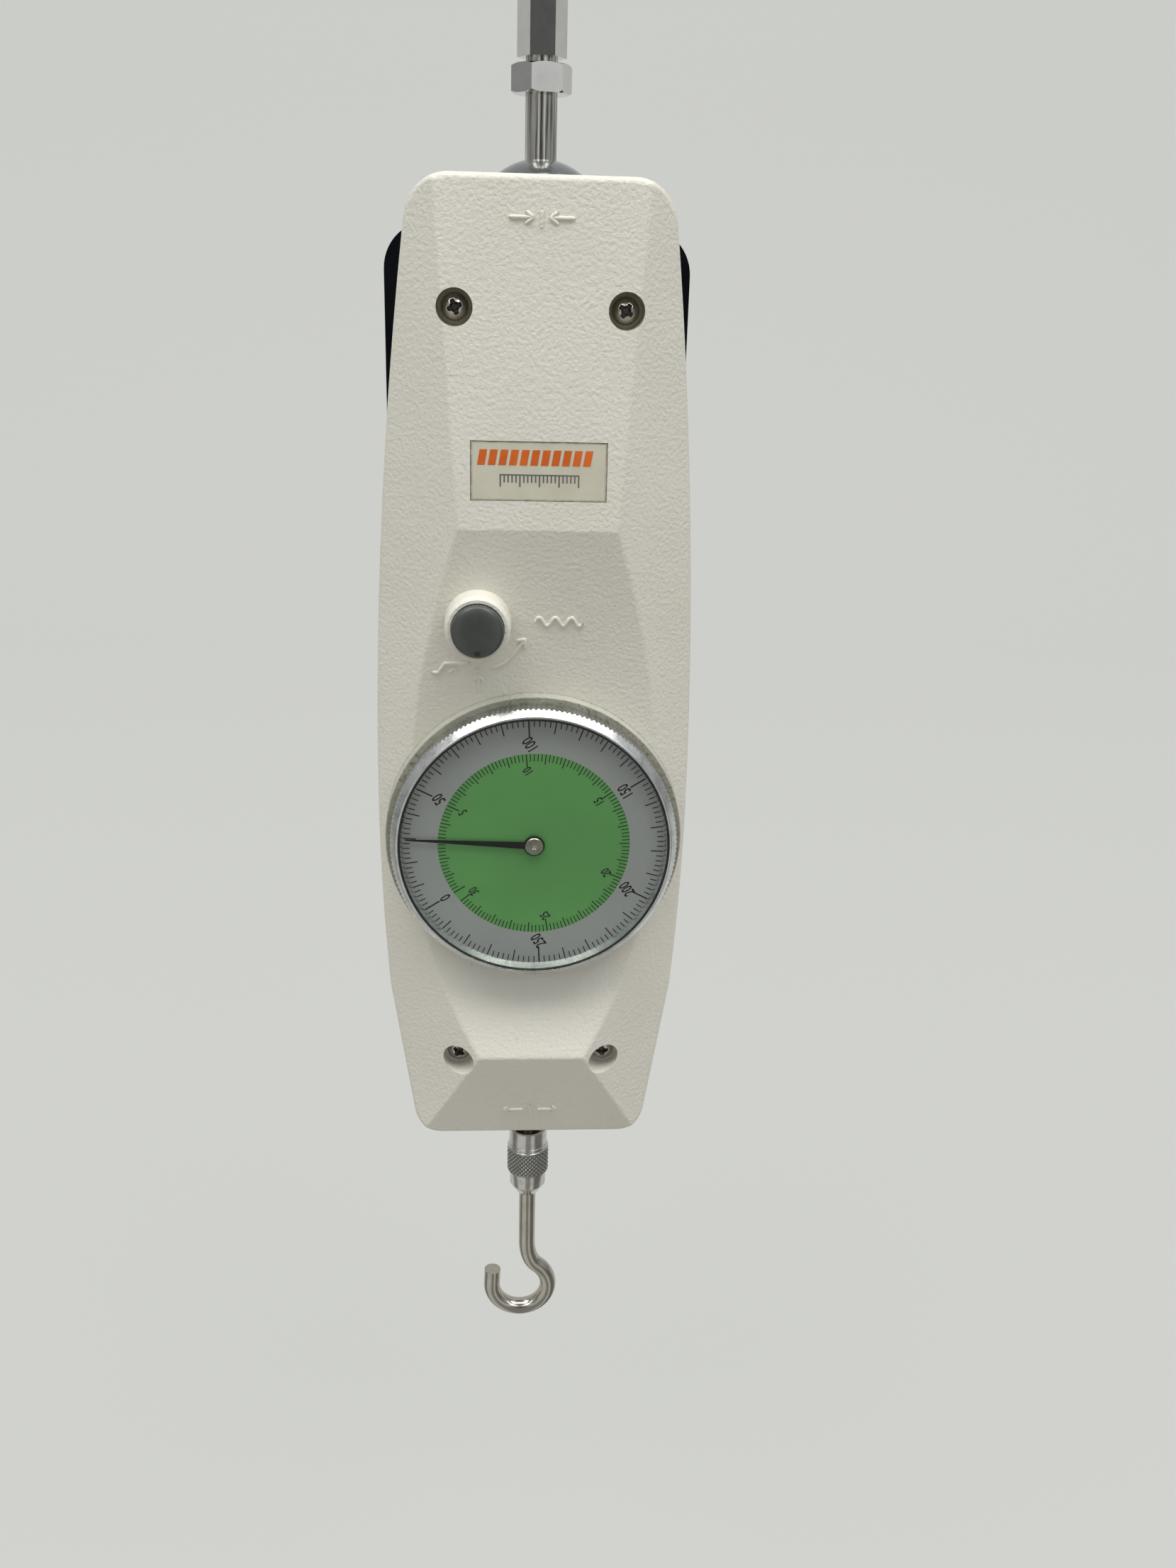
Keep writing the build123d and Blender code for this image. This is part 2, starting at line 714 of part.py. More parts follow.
def coupling():
    grip_z = coupling_top_z - coupling_band_length
    neck_z = grip_z - coupling_grip_length
    cone_z = neck_z - coupling_neck_length
    nose_z = cone_z - coupling_cone_length
    solid = shaft_turned([(0, coupling_top_z), (coupling_band_radius, coupling_top_z),
                          (coupling_band_radius, grip_z), (coupling_radius, grip_z), (coupling_radius, neck_z),
                          (coupling_neck_radius, neck_z), (coupling_neck_radius, cone_z),
                          (coupling_nose_radius, nose_z), (0, nose_z)])
    solid -= rod(shaft_radius, shaft_bottom_z, coupling_top_z)
    return solid - rod(wire_radius, nose_z, shaft_bottom_z)


def hook():
    start = math.radians(hook_start)
    ring_x = hook_centre_x + hook_radius * math.cos(start)
    ring_z = hook_centre_z + hook_radius * math.sin(start)
    path = Line((0, hook_top_z), (0, hook_shank_z))
    path += Spline((0, hook_shank_z), (ring_x, ring_z), tangents=[(0, -1), (math.sin(start), -math.cos(start))])
    bend = CenterArc((hook_centre_x, hook_centre_z), hook_radius, hook_start, -hook_sweep)
    path += bend
    path += Line(bend @ 1, bend @ 1 + (bend % 1) * hook_tip_length)
    section = Pos(0, -shaft_height, hook_top_z) * Circle(wire_radius)
    return sweep(section, Plane.XZ.offset(shaft_height) * path)


# ---- movement, turning pieces ----
def rack_pinion():
    outline = toothed(pinion_teeth, rack_module, 180) - Circle(wheel_arbor_radius)
    return slab(Pos(wheel_x, wheel_z) * outline, rack_height, rack_height + rack_width)


def drive_wheel():
    outline = toothed(wheel_teeth, gear_module, mesh_angle) - Circle(wheel_arbor_radius)
    return slab(Pos(wheel_x, wheel_z) * outline, wheel_height, wheel_height + wheel_thickness)


def wheel_arbor():
    return disc(wheel_x, wheel_z, wheel_arbor_radius, split_height, bridge_top)


def centre_pinion():
    outline = toothed(centre_teeth, gear_module, mesh_angle + 180 + 180 / centre_teeth) - Circle(arbor_radius)
    return slab(Pos(0, dial_z) * outline, centre_pinion_height, centre_pinion_height + centre_pinion_width)


def centre_arbor():
    """The pointer's arbor with the collet that the hairspring's inner end is fixed to."""
    solid = disc(0, dial_z, arbor_radius, plate_height, hub_top - snug)
    return solid + disc(0, dial_z, collet_radius, hairspring_height, hairspring_height + hairspring_width)


def hold_wheel():
    return ring(0, dial_z, hold_wheel_radius, arbor_radius, hold_wheel_height,
                hold_wheel_height + hold_wheel_thickness)


def pointer_hub():
    return disc(0, dial_z, hub_radius, hub_height, hub_top) - centre_arbor()


def pointer():
    arm = make_face(Polyline((-blade_root / 2, 0), (blade_root / 2, 0),
                             (blade_tip / 2, pointer_length), (-blade_tip / 2, pointer_length), close=True))
    blade = Circle(blade_boss) + arm - Circle(hub_radius)
    return slab(Pos(0, dial_z) * Rot(0, 0, pointer_turn) * blade, blade_height, blade_height + blade_thickness)


def hold_lever():
    """A rocking lever: its upper end lies beside the knob's cam pin and its pad beside the hold wheel."""
    half = lever_width / 2
    pad_reach = hold_wheel_radius + pad_gap + half
    pad_x = pad_reach * math.cos(math.radians(pad_angle))
    pad_z = dial_z + pad_reach * math.sin(math.radians(pad_angle))
    outline = Pos(lever_pivot_x, lever_pivot_z) * Circle(lever_eye_radius)
    for x, z in ((lever_top_x, lever_top_z), (pad_x, pad_z)):
        outline += Pos(x, z) * Circle(half)
        turn = math.degrees(math.atan2(z - lever_pivot_z, x - lever_pivot_x))
        length = math.hypot(x - lever_pivot_x, z - lever_pivot_z)
        middle = ((x + lever_pivot_x) / 2, (z + lever_pivot_z) / 2)
        outline += Pos(*middle) * Rot(0, 0, turn) * Rectangle(length, lever_width)
    outline -= Pos(lever_pivot_x, lever_pivot_z) * Circle(lever_pin_radius + running)
    return slab(outline, lever_height, lever_top)


# ---- bezel and dial ----
def bezel():
    spigot_bore = spigot_radius - spigot_wall
    points = [(spigot_bore, spigot_bottom), (spigot_radius, spigot_bottom), (spigot_radius, snap_ring_low),
              (groove_radius, snap_ring_low), (groove_radius, snap_ring_high), (spigot_radius, snap_ring_high),
              (spigot_radius, bezel_foot), (bezel_radius, bezel_foot), (bezel_radius, bezel_edge_height),
              (bezel_radius - bevel_width, lip_height), (crystal_radius + running, lip_height),
              (crystal_radius + running, crystal_seat), (dial_radius + snug, crystal_seat),
              (dial_radius + snug, dial_seat), (spigot_bore, dial_seat)]
    return turned(points, 0, dial_z)


def crystal():
    return disc(0, dial_z, crystal_radius, crystal_seat, lip_height)


def dial_plate():
    return ring(0, dial_z, dial_radius, dial_hole, dial_seat, dial_height)


def snap_ring():
    solid = ring(0, dial_z, snap_ring_radius, groove_radius, snap_ring_low, snap_ring_high)
    gap = block(0, dial_z - snap_ring_radius, snap_ring_gap, 4 * groove_depth + snap_ring_gap,
                snap_ring_low, snap_ring_high)
    return solid - gap


# ---- peak and track knob ----
def knob():
    top = knob_height - knob_dome
    solid = turned([(0, knob_seat), (knob_radius, knob_seat), (knob_radius, top),
                    (knob_radius - knob_dome, knob_height), (0, knob_height)], knob_x, knob_z)
    return solid - disc(knob_x, knob_z, knob_shaft_radius, knob_seat, knob_seat + knob_socket)


def knob_shaft():
    return disc(knob_x, knob_z, knob_shaft_radius, cam_height, knob_seat + knob_socket)


def knob_cam():
    solid = ring(knob_x, knob_z, cam_radius, knob_shaft_radius, cam_height, cam_height + cam_thickness)
    pin_foot = lever_height - cam_pin_past
    return solid + disc(knob_x, knob_z - cam_pin_offset, cam_pin_radius, pin_foot, cam_height)


def knob_clip():
    high = boss_foot - running
    return ring(knob_x, knob_z, clip_radius, knob_shaft_radius, high - clip_thickness, high)


os.makedirs("parts", exist_ok=True)
nodes = [front_cover, rear_cover, cover_screws, label_plate, mount_inserts, push_bush, pull_bush,
         chassis_plate, spring_bracket, guide_block, foot_screws, load_spring,
         movement_plate, movement_bridge, standoffs, pillars, bridge_screws, lever_post, hairspring,
         load_shaft, rack, shaft_collar, guide_pin, lock_nut, extension_rod, push_head, coupling, hook,
         rack_pinion, drive_wheel, wheel_arbor, centre_arbor, centre_pinion, hold_wheel, pointer_hub, pointer,
         hold_lever, bezel, crystal, dial_plate, snap_ring, knob, knob_shaft, knob_cam, knob_clip]
for node in nodes:
    export_step(node(), f"parts/{node.__name__}.step")
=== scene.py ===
"""Looks for the force gauge: materials, printed dial, knurled pieces, raised marks, lights and camera."""
import bpy
import bmesh
import math
from mathutils import Matrix, Vector
from mathutils.bvhtree import BVHTree

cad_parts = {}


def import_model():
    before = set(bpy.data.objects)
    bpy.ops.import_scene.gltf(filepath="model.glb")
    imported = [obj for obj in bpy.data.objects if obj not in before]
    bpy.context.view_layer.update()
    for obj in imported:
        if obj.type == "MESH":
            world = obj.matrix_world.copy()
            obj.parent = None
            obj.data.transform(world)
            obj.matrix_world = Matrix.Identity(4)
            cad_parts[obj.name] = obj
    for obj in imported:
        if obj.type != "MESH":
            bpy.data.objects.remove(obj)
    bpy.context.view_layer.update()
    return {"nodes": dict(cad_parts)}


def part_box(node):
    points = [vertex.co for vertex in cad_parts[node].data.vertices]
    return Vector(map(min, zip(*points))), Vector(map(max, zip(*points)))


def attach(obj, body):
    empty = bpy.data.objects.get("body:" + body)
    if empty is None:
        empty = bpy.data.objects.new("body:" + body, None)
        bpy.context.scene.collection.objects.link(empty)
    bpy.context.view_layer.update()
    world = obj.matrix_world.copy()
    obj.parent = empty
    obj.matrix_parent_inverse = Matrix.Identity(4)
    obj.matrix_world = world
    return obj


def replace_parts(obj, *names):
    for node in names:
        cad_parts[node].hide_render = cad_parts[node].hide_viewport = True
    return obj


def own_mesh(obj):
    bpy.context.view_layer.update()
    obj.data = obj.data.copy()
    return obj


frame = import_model()
nodes = frame["nodes"]

# Sizes are in millimetres. h is the height in front of the rear face, so y = -h.
MM = 0.001
DIAL_Z, DIAL_H = -31.5, 45.0                # centre and printed face of the dial
DIAL_TURN = 123.0                           # how far its zero is turned off the top, in degrees
DISC_RADIUS = 20.0                          # green disc
AXIS_H = 25.6                               # load shaft
KNOB_X, KNOB_Z = -11.65, DIAL_Z + 46.25
SCREW_X = 16.0
UPPER_SCREW_Z, LOWER_SCREW_Z = DIAL_Z + 105.6, DIAL_Z - 52.05
LABEL_UP = 76.2                             # label's centre above the dial's
COUPLING_TOP = DIAL_Z - 80.7
GRIP_TOP, GRIP_BOTTOM = COUPLING_TOP - 5.35, COUPLING_TOP - 11.75
GRIP_RADIUS = 4.9
DARK_END_Z = -99.0                               # the shaft's colour is black below this


# ---- mesh helpers ----
def point(x, h, z):
    return (x * MM, -h * MM, z * MM)


def link(name, data):
    """Puts data into the scene as an object."""
    obj = bpy.data.objects.new(name, data)
    bpy.context.scene.collection.objects.link(obj)
    return obj


def slab_faces(a):
    """Faces of a box whose four lower corners, from a on, come before its four upper ones."""
    return [(a, a + 1, a + 2, a + 3), (a + 4, a + 7, a + 6, a + 5), (a, a + 4, a + 5, a + 1),
            (a + 1, a + 5, a + 6, a + 2), (a + 2, a + 6, a + 7, a + 3), (a + 3, a + 7, a + 4, a)]


def mesh_object(name, verts, faces, body, smooth=True, materials=()):
    mesh = bpy.data.meshes.new(name)
    mesh.from_pydata([tuple(v) for v in verts], [], faces)
    mesh.validate()
    mesh.update()
    for material in materials:
        mesh.materials.append(material)
    obj = link(name, mesh)
    for polygon in mesh.polygons:
        polygon.use_smooth = smooth
    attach(obj, body)
    return obj


def sharpen(obj, degrees):
    """Keeps edges sharper than this angle crisp under smooth shading."""
    bpy.context.view_layer.objects.active = obj
    for other in bpy.context.selected_objects:
        other.select_set(False)
    obj.select_set(True)
    bpy.ops.object.shade_smooth_by_angle(angle=math.radians(degrees))
    obj.select_set(False)


def lathe(name, profile, place, steps, body, axis="Y", shape=None, close=True):
    """Turns (radius, height) points about an axis. shape(index, angle, radius, height) may move a point."""
    verts = []
    for step in range(steps):
        angle = 2 * math.pi * step / steps
        for index, (radius, height) in enumerate(profile):
            if shape:
                radius, height = shape(index, angle, radius, height)
            first, second = place[0] + radius * math.cos(angle), place[1] + radius * math.sin(angle)
            verts.append(point(first, height, second) if axis == "Y" else point(first, second, height))
    count = len(profile)
    faces = []
    last = count if close else count - 1
    for step in range(steps):
        here = step * count
        there = (step + 1) % steps * count
        for index in range(last):
            after = (index + 1) % count
            if profile[index][0] or profile[after][0]:
                faces.append((here + index, here + after, there + after, there + index))
    obj = mesh_object(name, verts, faces, body)
    tidy(obj)
    return obj


def tidy(obj):
    """Joins points that lie together and turns all faces outwards."""
    mesh = bmesh.new()
    mesh.from_mesh(obj.data)
    bmesh.ops.remove_doubles(mesh, verts=mesh.verts, dist=1e-7)
    bmesh.ops.dissolve_degenerate(mesh, edges=mesh.edges, dist=1e-8)
    bmesh.ops.recalc_face_normals(mesh, faces=mesh.faces)
    mesh.to_mesh(obj.data)
    mesh.free()
    for polygon in obj.data.polygons:
        polygon.use_smooth = True


# ---- material helpers ----
def new_material(name, base, rough, metal=0.0):
    material = bpy.data.materials.new(name)
    material.use_nodes = True
    tree = material.node_tree
    shader = tree.nodes["Principled BSDF"]
    shader.inputs["Base Color"].default_value = (*base, 1)
    shader.inputs["Roughness"].default_value = rough
    shader.inputs["Metallic"].default_value = metal
    return material, tree, shader


def add(tree, kind, **values):
    node = tree.nodes.new(kind)
    for key, value in values.items():
        setattr(node, key, value)
    return node


def coordinates(tree, scale=(1, 1, 1), shift=(0, 0, 0)):
    source = add(tree, "ShaderNodeTexCoord")
    mapping = add(tree, "ShaderNodeMapping")
    mapping.inputs["Location"].default_value = shift
    mapping.inputs["Scale"].default_value = scale
    tree.links.new(source.outputs["Object"], mapping.inputs["Vector"])
    return mapping.outputs["Vector"]


def noise(tree, size_mm, detail=2.0, rough=0.5, scale=(1, 1, 1), shift=(0, 0, 0)):
    node = add(tree, "ShaderNodeTexNoise")
    node.inputs["Scale"].default_value = 1000.0 / size_mm
    node.inputs["Detail"].default_value = detail
    node.inputs["Roughness"].default_value = rough
    tree.links.new(coordinates(tree, scale, shift), node.inputs["Vector"])
    return node.outputs["Fac"]


def ramp(tree, value, low, high, first=0.0, second=1.0):
    node = add(tree, "ShaderNodeMapRange")
    node.inputs["From Min"].default_value = low
    node.inputs["From Max"].default_value = high
    node.inputs["To Min"].default_value = first
    node.inputs["To Max"].default_value = second
    tree.links.new(value, node.inputs["Value"])
    return node.outputs["Result"]


def math_node(tree, operation, first, second=None):
    node = add(tree, "ShaderNodeMath", operation=operation)
    for index, value in enumerate((first, second)):
        if value is None:
            continue
        if isinstance(value, (int, float)):
            node.inputs[index].default_value = value
        else:
            tree.links.new(value, node.inputs[index])
    return node.outputs["Value"]


def times(tree, first, second):
    return math_node(tree, "MULTIPLY", first, second)


def mix(tree, factor, first, second):
    node = add(tree, "ShaderNodeMix", data_type="RGBA")
    for socket, value in ((node.inputs[0], factor), (node.inputs[6], first), (node.inputs[7], second)):
        if isinstance(value, (int, float)):
            socket.default_value = value
        elif isinstance(value, tuple):
            socket.default_value = (*value, 1)
        else:
            tree.links.new(value, socket)
    return node.outputs[2]


def bump(tree, shader, value, strength, depth_mm, under=None):
    node = add(tree, "ShaderNodeBump")
    node.inputs["Strength"].default_value = strength
    node.inputs["Distance"].default_value = depth_mm * MM
    tree.links.new(value, node.inputs["Height"])
    if under:
        tree.links.new(under, node.inputs["Normal"])
    tree.links.new(node.outputs["Normal"], shader.inputs["Normal"])
    return node.outputs["Normal"]


def own_place(tree):
    """X, Y and Z in the piece's own frame, in metres."""
    split = add(tree, "ShaderNodeSeparateXYZ")
    tree.links.new(add(tree, "ShaderNodeTexCoord").outputs["Object"], split.inputs["Vector"])
    return split.outputs


def coordinate(tree, axis):
    return times(tree, own_place(tree)[axis], 1000.0)


def distance(tree, first, second):
    """Distance in millimetres over two offsets in metres that are square to each other."""
    square = math_node(tree, "ADD", times(tree, first, first), times(tree, second, second))
    return times(tree, math_node(tree, "SQRT", square), 1000.0)


def away_from(tree, x_mm, z_mm, fold=False):
    """Distance in millimetres from an axis along Y. fold treats both sides of the centre line alike."""
    place = own_place(tree)
    x = math_node(tree, "ABSOLUTE", place["X"]) if fold else place["X"]
    return distance(tree, math_node(tree, "SUBTRACT", x, x_mm * MM),
                    math_node(tree, "SUBTRACT", place["Z"], z_mm * MM))


# ---- materials ----
def paint_material():
    """Cream powder coat, pebbled, with a collar round the dial painted dark, partly as grime and partly as
    painted shade beside the bezel, and brown upper screw pockets darkened towards their walls as painted
    shade.
    """
    material, tree, shader = new_material("cream_powder_coat", (0.74, 0.725, 0.65), 0.44)
    cloud = ramp(tree, noise(tree, 26.0, 3.0), 0.35, 0.7)
    base = mix(tree, cloud, (0.755, 0.740, 0.665), (0.715, 0.698, 0.618))
    speck = ramp(tree, noise(tree, 1.1, 1.0, 0.5, shift=(3, 1, 2)), 0.76, 0.80)
    base = mix(tree, times(tree, speck, 0.35), base, (0.40, 0.37, 0.31))
    ring = away_from(tree, 0, DIAL_Z)
    # the collar just outside the bezel is painted darker, partly as grime and partly as painted shade in the
    # corner beside the bezel
    near = times(tree, ramp(tree, ring, 31.25, 30.7), ramp(tree, ring, 28.8, 29.4))
    grime_and_shade = times(tree, near, ramp(tree, noise(tree, 2.6, 5.0, 0.7), 0.36, 0.62, 0.85, 1.0))
    base = mix(tree, grime_and_shade, base, (0.255, 0.260, 0.205))
    crust = ramp(tree, noise(tree, 0.5, 4.0, 0.75, shift=(1, 5, 2)), 0.57, 0.61)
    crust = times(tree, near, crust)
    patch = ramp(tree, noise(tree, 13.0, 2.0, 0.5, shift=(2, 9, 4)), 0.42, 0.58)
    base = mix(tree, times(tree, crust, patch), base, (0.05, 0.047, 0.04))
    from_screw = away_from(tree, SCREW_X, UPPER_SCREW_Z, True)
    pocket = ramp(tree, from_screw, 3.47, 3.40)
    # the upper screw pockets are painted brown for their bare metal, and darker towards the wall as painted
    # shade
    floor_ring = ramp(tree, from_screw, 3.2, 2.9)
    dark = mix(tree, floor_ring, (0.34, 0.32, 0.24), (0.50, 0.48, 0.38))
    base = mix(tree, pocket, base, dark)
    tree.links.new(base, shader.inputs["Base Color"])
    tree.links.new(ramp(tree, noise(tree, 3.0, 2.0), 0.3, 0.7, 0.38, 0.54), shader.inputs["Roughness"])
    pebble = bump(tree, shader, noise(tree, 0.78, 2.0, 0.5), 0.75, 0.24)
    bump(tree, shader, noise(tree, 0.3, 2.0, 0.5, shift=(2, 2, 2)), 0.3, 0.06, pebble)
    shader.inputs["Specular IOR Level"].default_value = 0.4
    return material


def black_coat_material():
    material, tree, shader = new_material("black_satin_coat", (0.003, 0.004, 0.006), 0.5)
    cloud = ramp(tree, noise(tree, 14.0, 4.0), 0.4, 0.7)
    base = mix(tree, cloud, (0.002, 0.003, 0.005), (0.005, 0.006, 0.008))
    tree.links.new(base, shader.inputs["Base Color"])
    tree.links.new(ramp(tree, noise(tree, 5.0, 3.0), 0.3, 0.7, 0.42, 0.58), shader.inputs["Roughness"])
    bump(tree, shader, noise(tree, 0.8, 2.0), 0.4, 0.12)
    shader.inputs["Specular IOR Level"].default_value = 0.06
    return material


def metal_material(name, base, rough, grain_mm=0.25, stretch=(1, 1, 1), strength=0.12, stain=0.12,
                   spread=0.08):
    """Bare metal with tool marks stretched one way, faint stains and uneven polish."""
    material, tree, shader = new_material(name, base, rough, 1.0)
    dark = tuple(c * (1 - 2.2 * stain) for c in base)
    tint = mix(tree, ramp(tree, noise(tree, 4.0, 4.0, 0.6), 0.42, 0.75), base, dark)
    tree.links.new(tint, shader.inputs["Base Color"])
    uneven = noise(tree, 1.6, 3.0, 0.6, shift=(4, 4, 4))
    uneven = ramp(tree, uneven, 0.3, 0.7, max(rough - spread, 0.03), rough + spread)
    tree.links.new(uneven, shader.inputs["Roughness"])
    bump(tree, shader, noise(tree, grain_mm, 2.0, 0.6, scale=stretch), strength, 0.02)
    return material


def turned_material(name, base, rough, x_mm, z_mm, strength=0.25):
    """Metal turned on a lathe about an axis along Y, with fine rings."""
    material, tree, shader = new_material(name, base, rough, 1.0)
    radius = away_from(tree, x_mm, z_mm)
    rings = add(tree, "ShaderNodeTexNoise", noise_dimensions="1D")
    rings.inputs["Scale"].default_value = 9.0
    rings.inputs["Detail"].default_value = 3.0
    tree.links.new(radius, rings.inputs["W"])
    stain = ramp(tree, noise(tree, 3.0, 4.0, 0.65), 0.45, 0.72)
    tint = mix(tree, stain, base, tuple(c * 0.72 for c in base))
    tree.links.new(tint, shader.inputs["Base Color"])
    uneven = ramp(tree, noise(tree, 1.2, 3.0, 0.6), 0.3, 0.7, rough - 0.06, rough + 0.10)
    tree.links.new(uneven, shader.inputs["Roughness"])
    bump(tree, shader, rings.outputs["Fac"], strength, 0.02)
    return material


def shaft_material():
    """Ground steel with fine lengthwise marks in its bump, light and dark lengthwise streaks painted into its
    colour as painted reflections, and black where it leaves the pull end.
    """
    material, tree, shader = new_material("ground_shaft", (0.60, 0.58, 0.54), 0.18, 1.0)
    # painted reflection: light and dark lengthwise streaks in the colour stand in for the room mirrored in
    # the shaft
    reflection_streak = ramp(tree, noise(tree, 0.45, 3.0, 0.6, scale=(1, 1, 0.02)), 0.42, 0.60)
    bright = mix(tree, reflection_streak, (0.70, 0.68, 0.63), (0.20, 0.19, 0.165))
    # the shaft's colour turns black towards the pull end
    dark_end = ramp(tree, coordinate(tree, "Z"), DARK_END_Z, DARK_END_Z - 2.0)
    tree.links.new(mix(tree, dark_end, bright, (0.035, 0.033, 0.03)), shader.inputs["Base Color"])
    bump(tree, shader, noise(tree, 0.2, 2.0, 0.6, scale=(1, 1, 0.04)), 0.5, 0.03)
    return material


def knurl_material():
    """Plated grip: bright on its points, dark in its cuts."""
    material, tree, shader = new_material("knurled_chrome", (0.60, 0.59, 0.56), 0.16, 1.0)
    place = own_place(tree)
    radius = distance(tree, place["X"], math_node(tree, "ADD", place["Y"], AXIS_H * MM))
    z = coordinate(tree, "Z")
    grip = times(tree, ramp(tree, z, GRIP_TOP + 0.15, GRIP_TOP - 0.05),
                 ramp(tree, z, GRIP_BOTTOM - 0.25, GRIP_BOTTOM - 0.05))
    deep = times(tree, grip, ramp(tree, radius, GRIP_RADIUS + 0.07, GRIP_RADIUS - 0.10))
    stain = ramp(tree, noise(tree, 3.0, 4.0, 0.6), 0.42, 0.75)
    shine = mix(tree, stain, (0.62, 0.61, 0.58), (0.44, 0.43, 0.40))
    tree.links.new(mix(tree, deep, shine, (0.17, 0.165, 0.15)), shader.inputs["Base Color"])
    tree.links.new(ramp(tree, deep, 0, 1, 0.14, 0.5), shader.inputs["Roughness"])
    bump(tree, shader, noise(tree, 0.3, 2.0, 0.6), 0.12, 0.02)
    return material


def dial_material():
    """The printed dial: a pale ring and a green disc."""
    material, tree, shader = new_material("dial_print", (0.42, 0.42, 0.45), 0.42)
    radius = away_from(tree, 0, DIAL_Z)
    cloud = ramp(tree, noise(tree, 20.0, 3.0), 0.35, 0.65)
    pale = mix(tree, cloud, (0.350, 0.353, 0.360), (0.322, 0.325, 0.335))
    green = mix(tree, cloud, (0.116, 0.350, 0.098), (0.100, 0.310, 0.086))
    base = mix(tree, ramp(tree, radius, DISC_RADIUS + 0.05, DISC_RADIUS - 0.05), pale, green)
    fleck = ramp(tree, noise(tree, 0.9, 2.0, 0.5, shift=(7, 1, 3)), 0.74, 0.78)
    base = mix(tree, times(tree, fleck, 0.25), base, (0.25, 0.27, 0.22))
    tree.links.new(base, shader.inputs["Base Color"])
    bump(tree, shader, noise(tree, 0.35, 2.0), 0.05, 0.02)
    return material


def glass_material():
    """Clear crystal: see-through, with a fresnel reflection and faint smears."""
    material, tree, shader = new_material("crystal_glass", (1, 1, 1), 0.03)
    clear = add(tree, "ShaderNodeBsdfTransparent")
    clear.inputs["Color"].default_value = (0.97, 0.985, 0.97, 1)
    gloss = add(tree, "ShaderNodeBsdfGlossy")
    gloss.inputs["Color"].default_value = (1, 1, 1, 1)
    tree.links.new(ramp(tree, noise(tree, 9.0, 4.0, 0.7), 0.45, 0.7, 0.02, 0.12), gloss.inputs["Roughness"])
    fresnel = add(tree, "ShaderNodeFresnel")
    fresnel.inputs["IOR"].default_value = 1.45
    side = add(tree, "ShaderNodeNewGeometry")
    outer = math_node(tree, "SUBTRACT", 1.0, side.outputs["Backfacing"])
    blend = add(tree, "ShaderNodeMixShader")
    tree.links.new(times(tree, fresnel.outputs["Fac"], outer), blend.inputs["Fac"])
    tree.links.new(clear.outputs["BSDF"], blend.inputs[1])
    tree.links.new(gloss.outputs["BSDF"], blend.inputs[2])
    tree.links.new(blend.outputs["Shader"], tree.nodes["Material Output"].inputs["Surface"])
    tree.nodes.remove(shader)
    return material


def plastic_material(name, base, rough, grain_mm=0.6, strength=0.05, coat=0.0, gloss=0.5):
    material, tree, shader = new_material(name, base, rough)
    light = tuple(min(c * 1.25 + 0.004, 1) for c in base)
    tint = mix(tree, ramp(tree, noise(tree, 6.0, 3.0), 0.4, 0.7), base, light)
    tree.links.new(tint, shader.inputs["Base Color"])
    uneven = ramp(tree, noise(tree, 2.0, 3.0), 0.3, 0.7, rough * 0.8, rough * 1.3)
    tree.links.new(uneven, shader.inputs["Roughness"])
    bump(tree, shader, noise(tree, grain_mm, 2.0), strength, 0.03)
    shader.inputs["Coat Weight"].default_value = coat
    shader.inputs["Coat Roughness"].default_value = 0.08
    shader.inputs["Specular IOR Level"].default_value = gloss
    return material


def label_material():
    material, tree, shader = new_material("label_ivory", (0.72, 0.71, 0.63), 0.38)
    tint = mix(tree, ramp(tree, noise(tree, 5.0, 4.0), 0.4, 0.7), (0.62, 0.60, 0.49), (0.57, 0.55, 0.44))
    edge_x = ramp(tree, math_node(tree, "ABSOLUTE", coordinate(tree, "X")), 12.55, 12.95)
    edge_z = math_node(tree, "SUBTRACT", coordinate(tree, "Z"), DIAL_Z + LABEL_UP)
    edge_z = ramp(tree, math_node(tree, "ABSOLUTE", edge_z), 5.1, 5.45)
    broken = ramp(tree, noise(tree, 1.4, 4.0, 0.7), 0.38, 0.58, 0.35, 1.0)
    edge = times(tree, math_node(tree, "MAXIMUM", edge_x, edge_z), broken)
    tint = mix(tree, edge, tint, (0.26, 0.23, 0.17))
    tree.links.new(tint, shader.inputs["Base Color"])
    bump(tree, shader, noise(tree, 0.5, 2.0), 0.06, 0.03)
    return material


paint = paint_material()
black_coat = black_coat_material()
bezel_metal = turned_material("bezel_aluminium", (0.74, 0.75, 0.75), 0.20, 0, DIAL_Z)
wall_metal = metal_material("knurl_aluminium", (0.55, 0.55, 0.53), 0.42, 0.3, strength=0.2, stain=0.2)
chrome = metal_material("polished_chrome", (0.64, 0.63, 0.60), 0.10, 0.5, (1, 1, 0.15), 0.05, 0.04, 0.04)
rod_steel = metal_material("ground_steel", (0.66, 0.64, 0.60), 0.16, 0.16, (1, 1, 0.04), 0.35, 0.08, 0.05)
shaft_steel = shaft_material()
grip_chrome = knurl_material()
hook_steel = metal_material("nickel_wire", (0.52, 0.49, 0.43), 0.15, 0.5, (1, 1, 0.3), 0.08, 0.08, 0.06)
screw_steel = metal_material("worn_screw", (0.58, 0.56, 0.52), 0.20, 0.35, strength=0.3, stain=0.22)
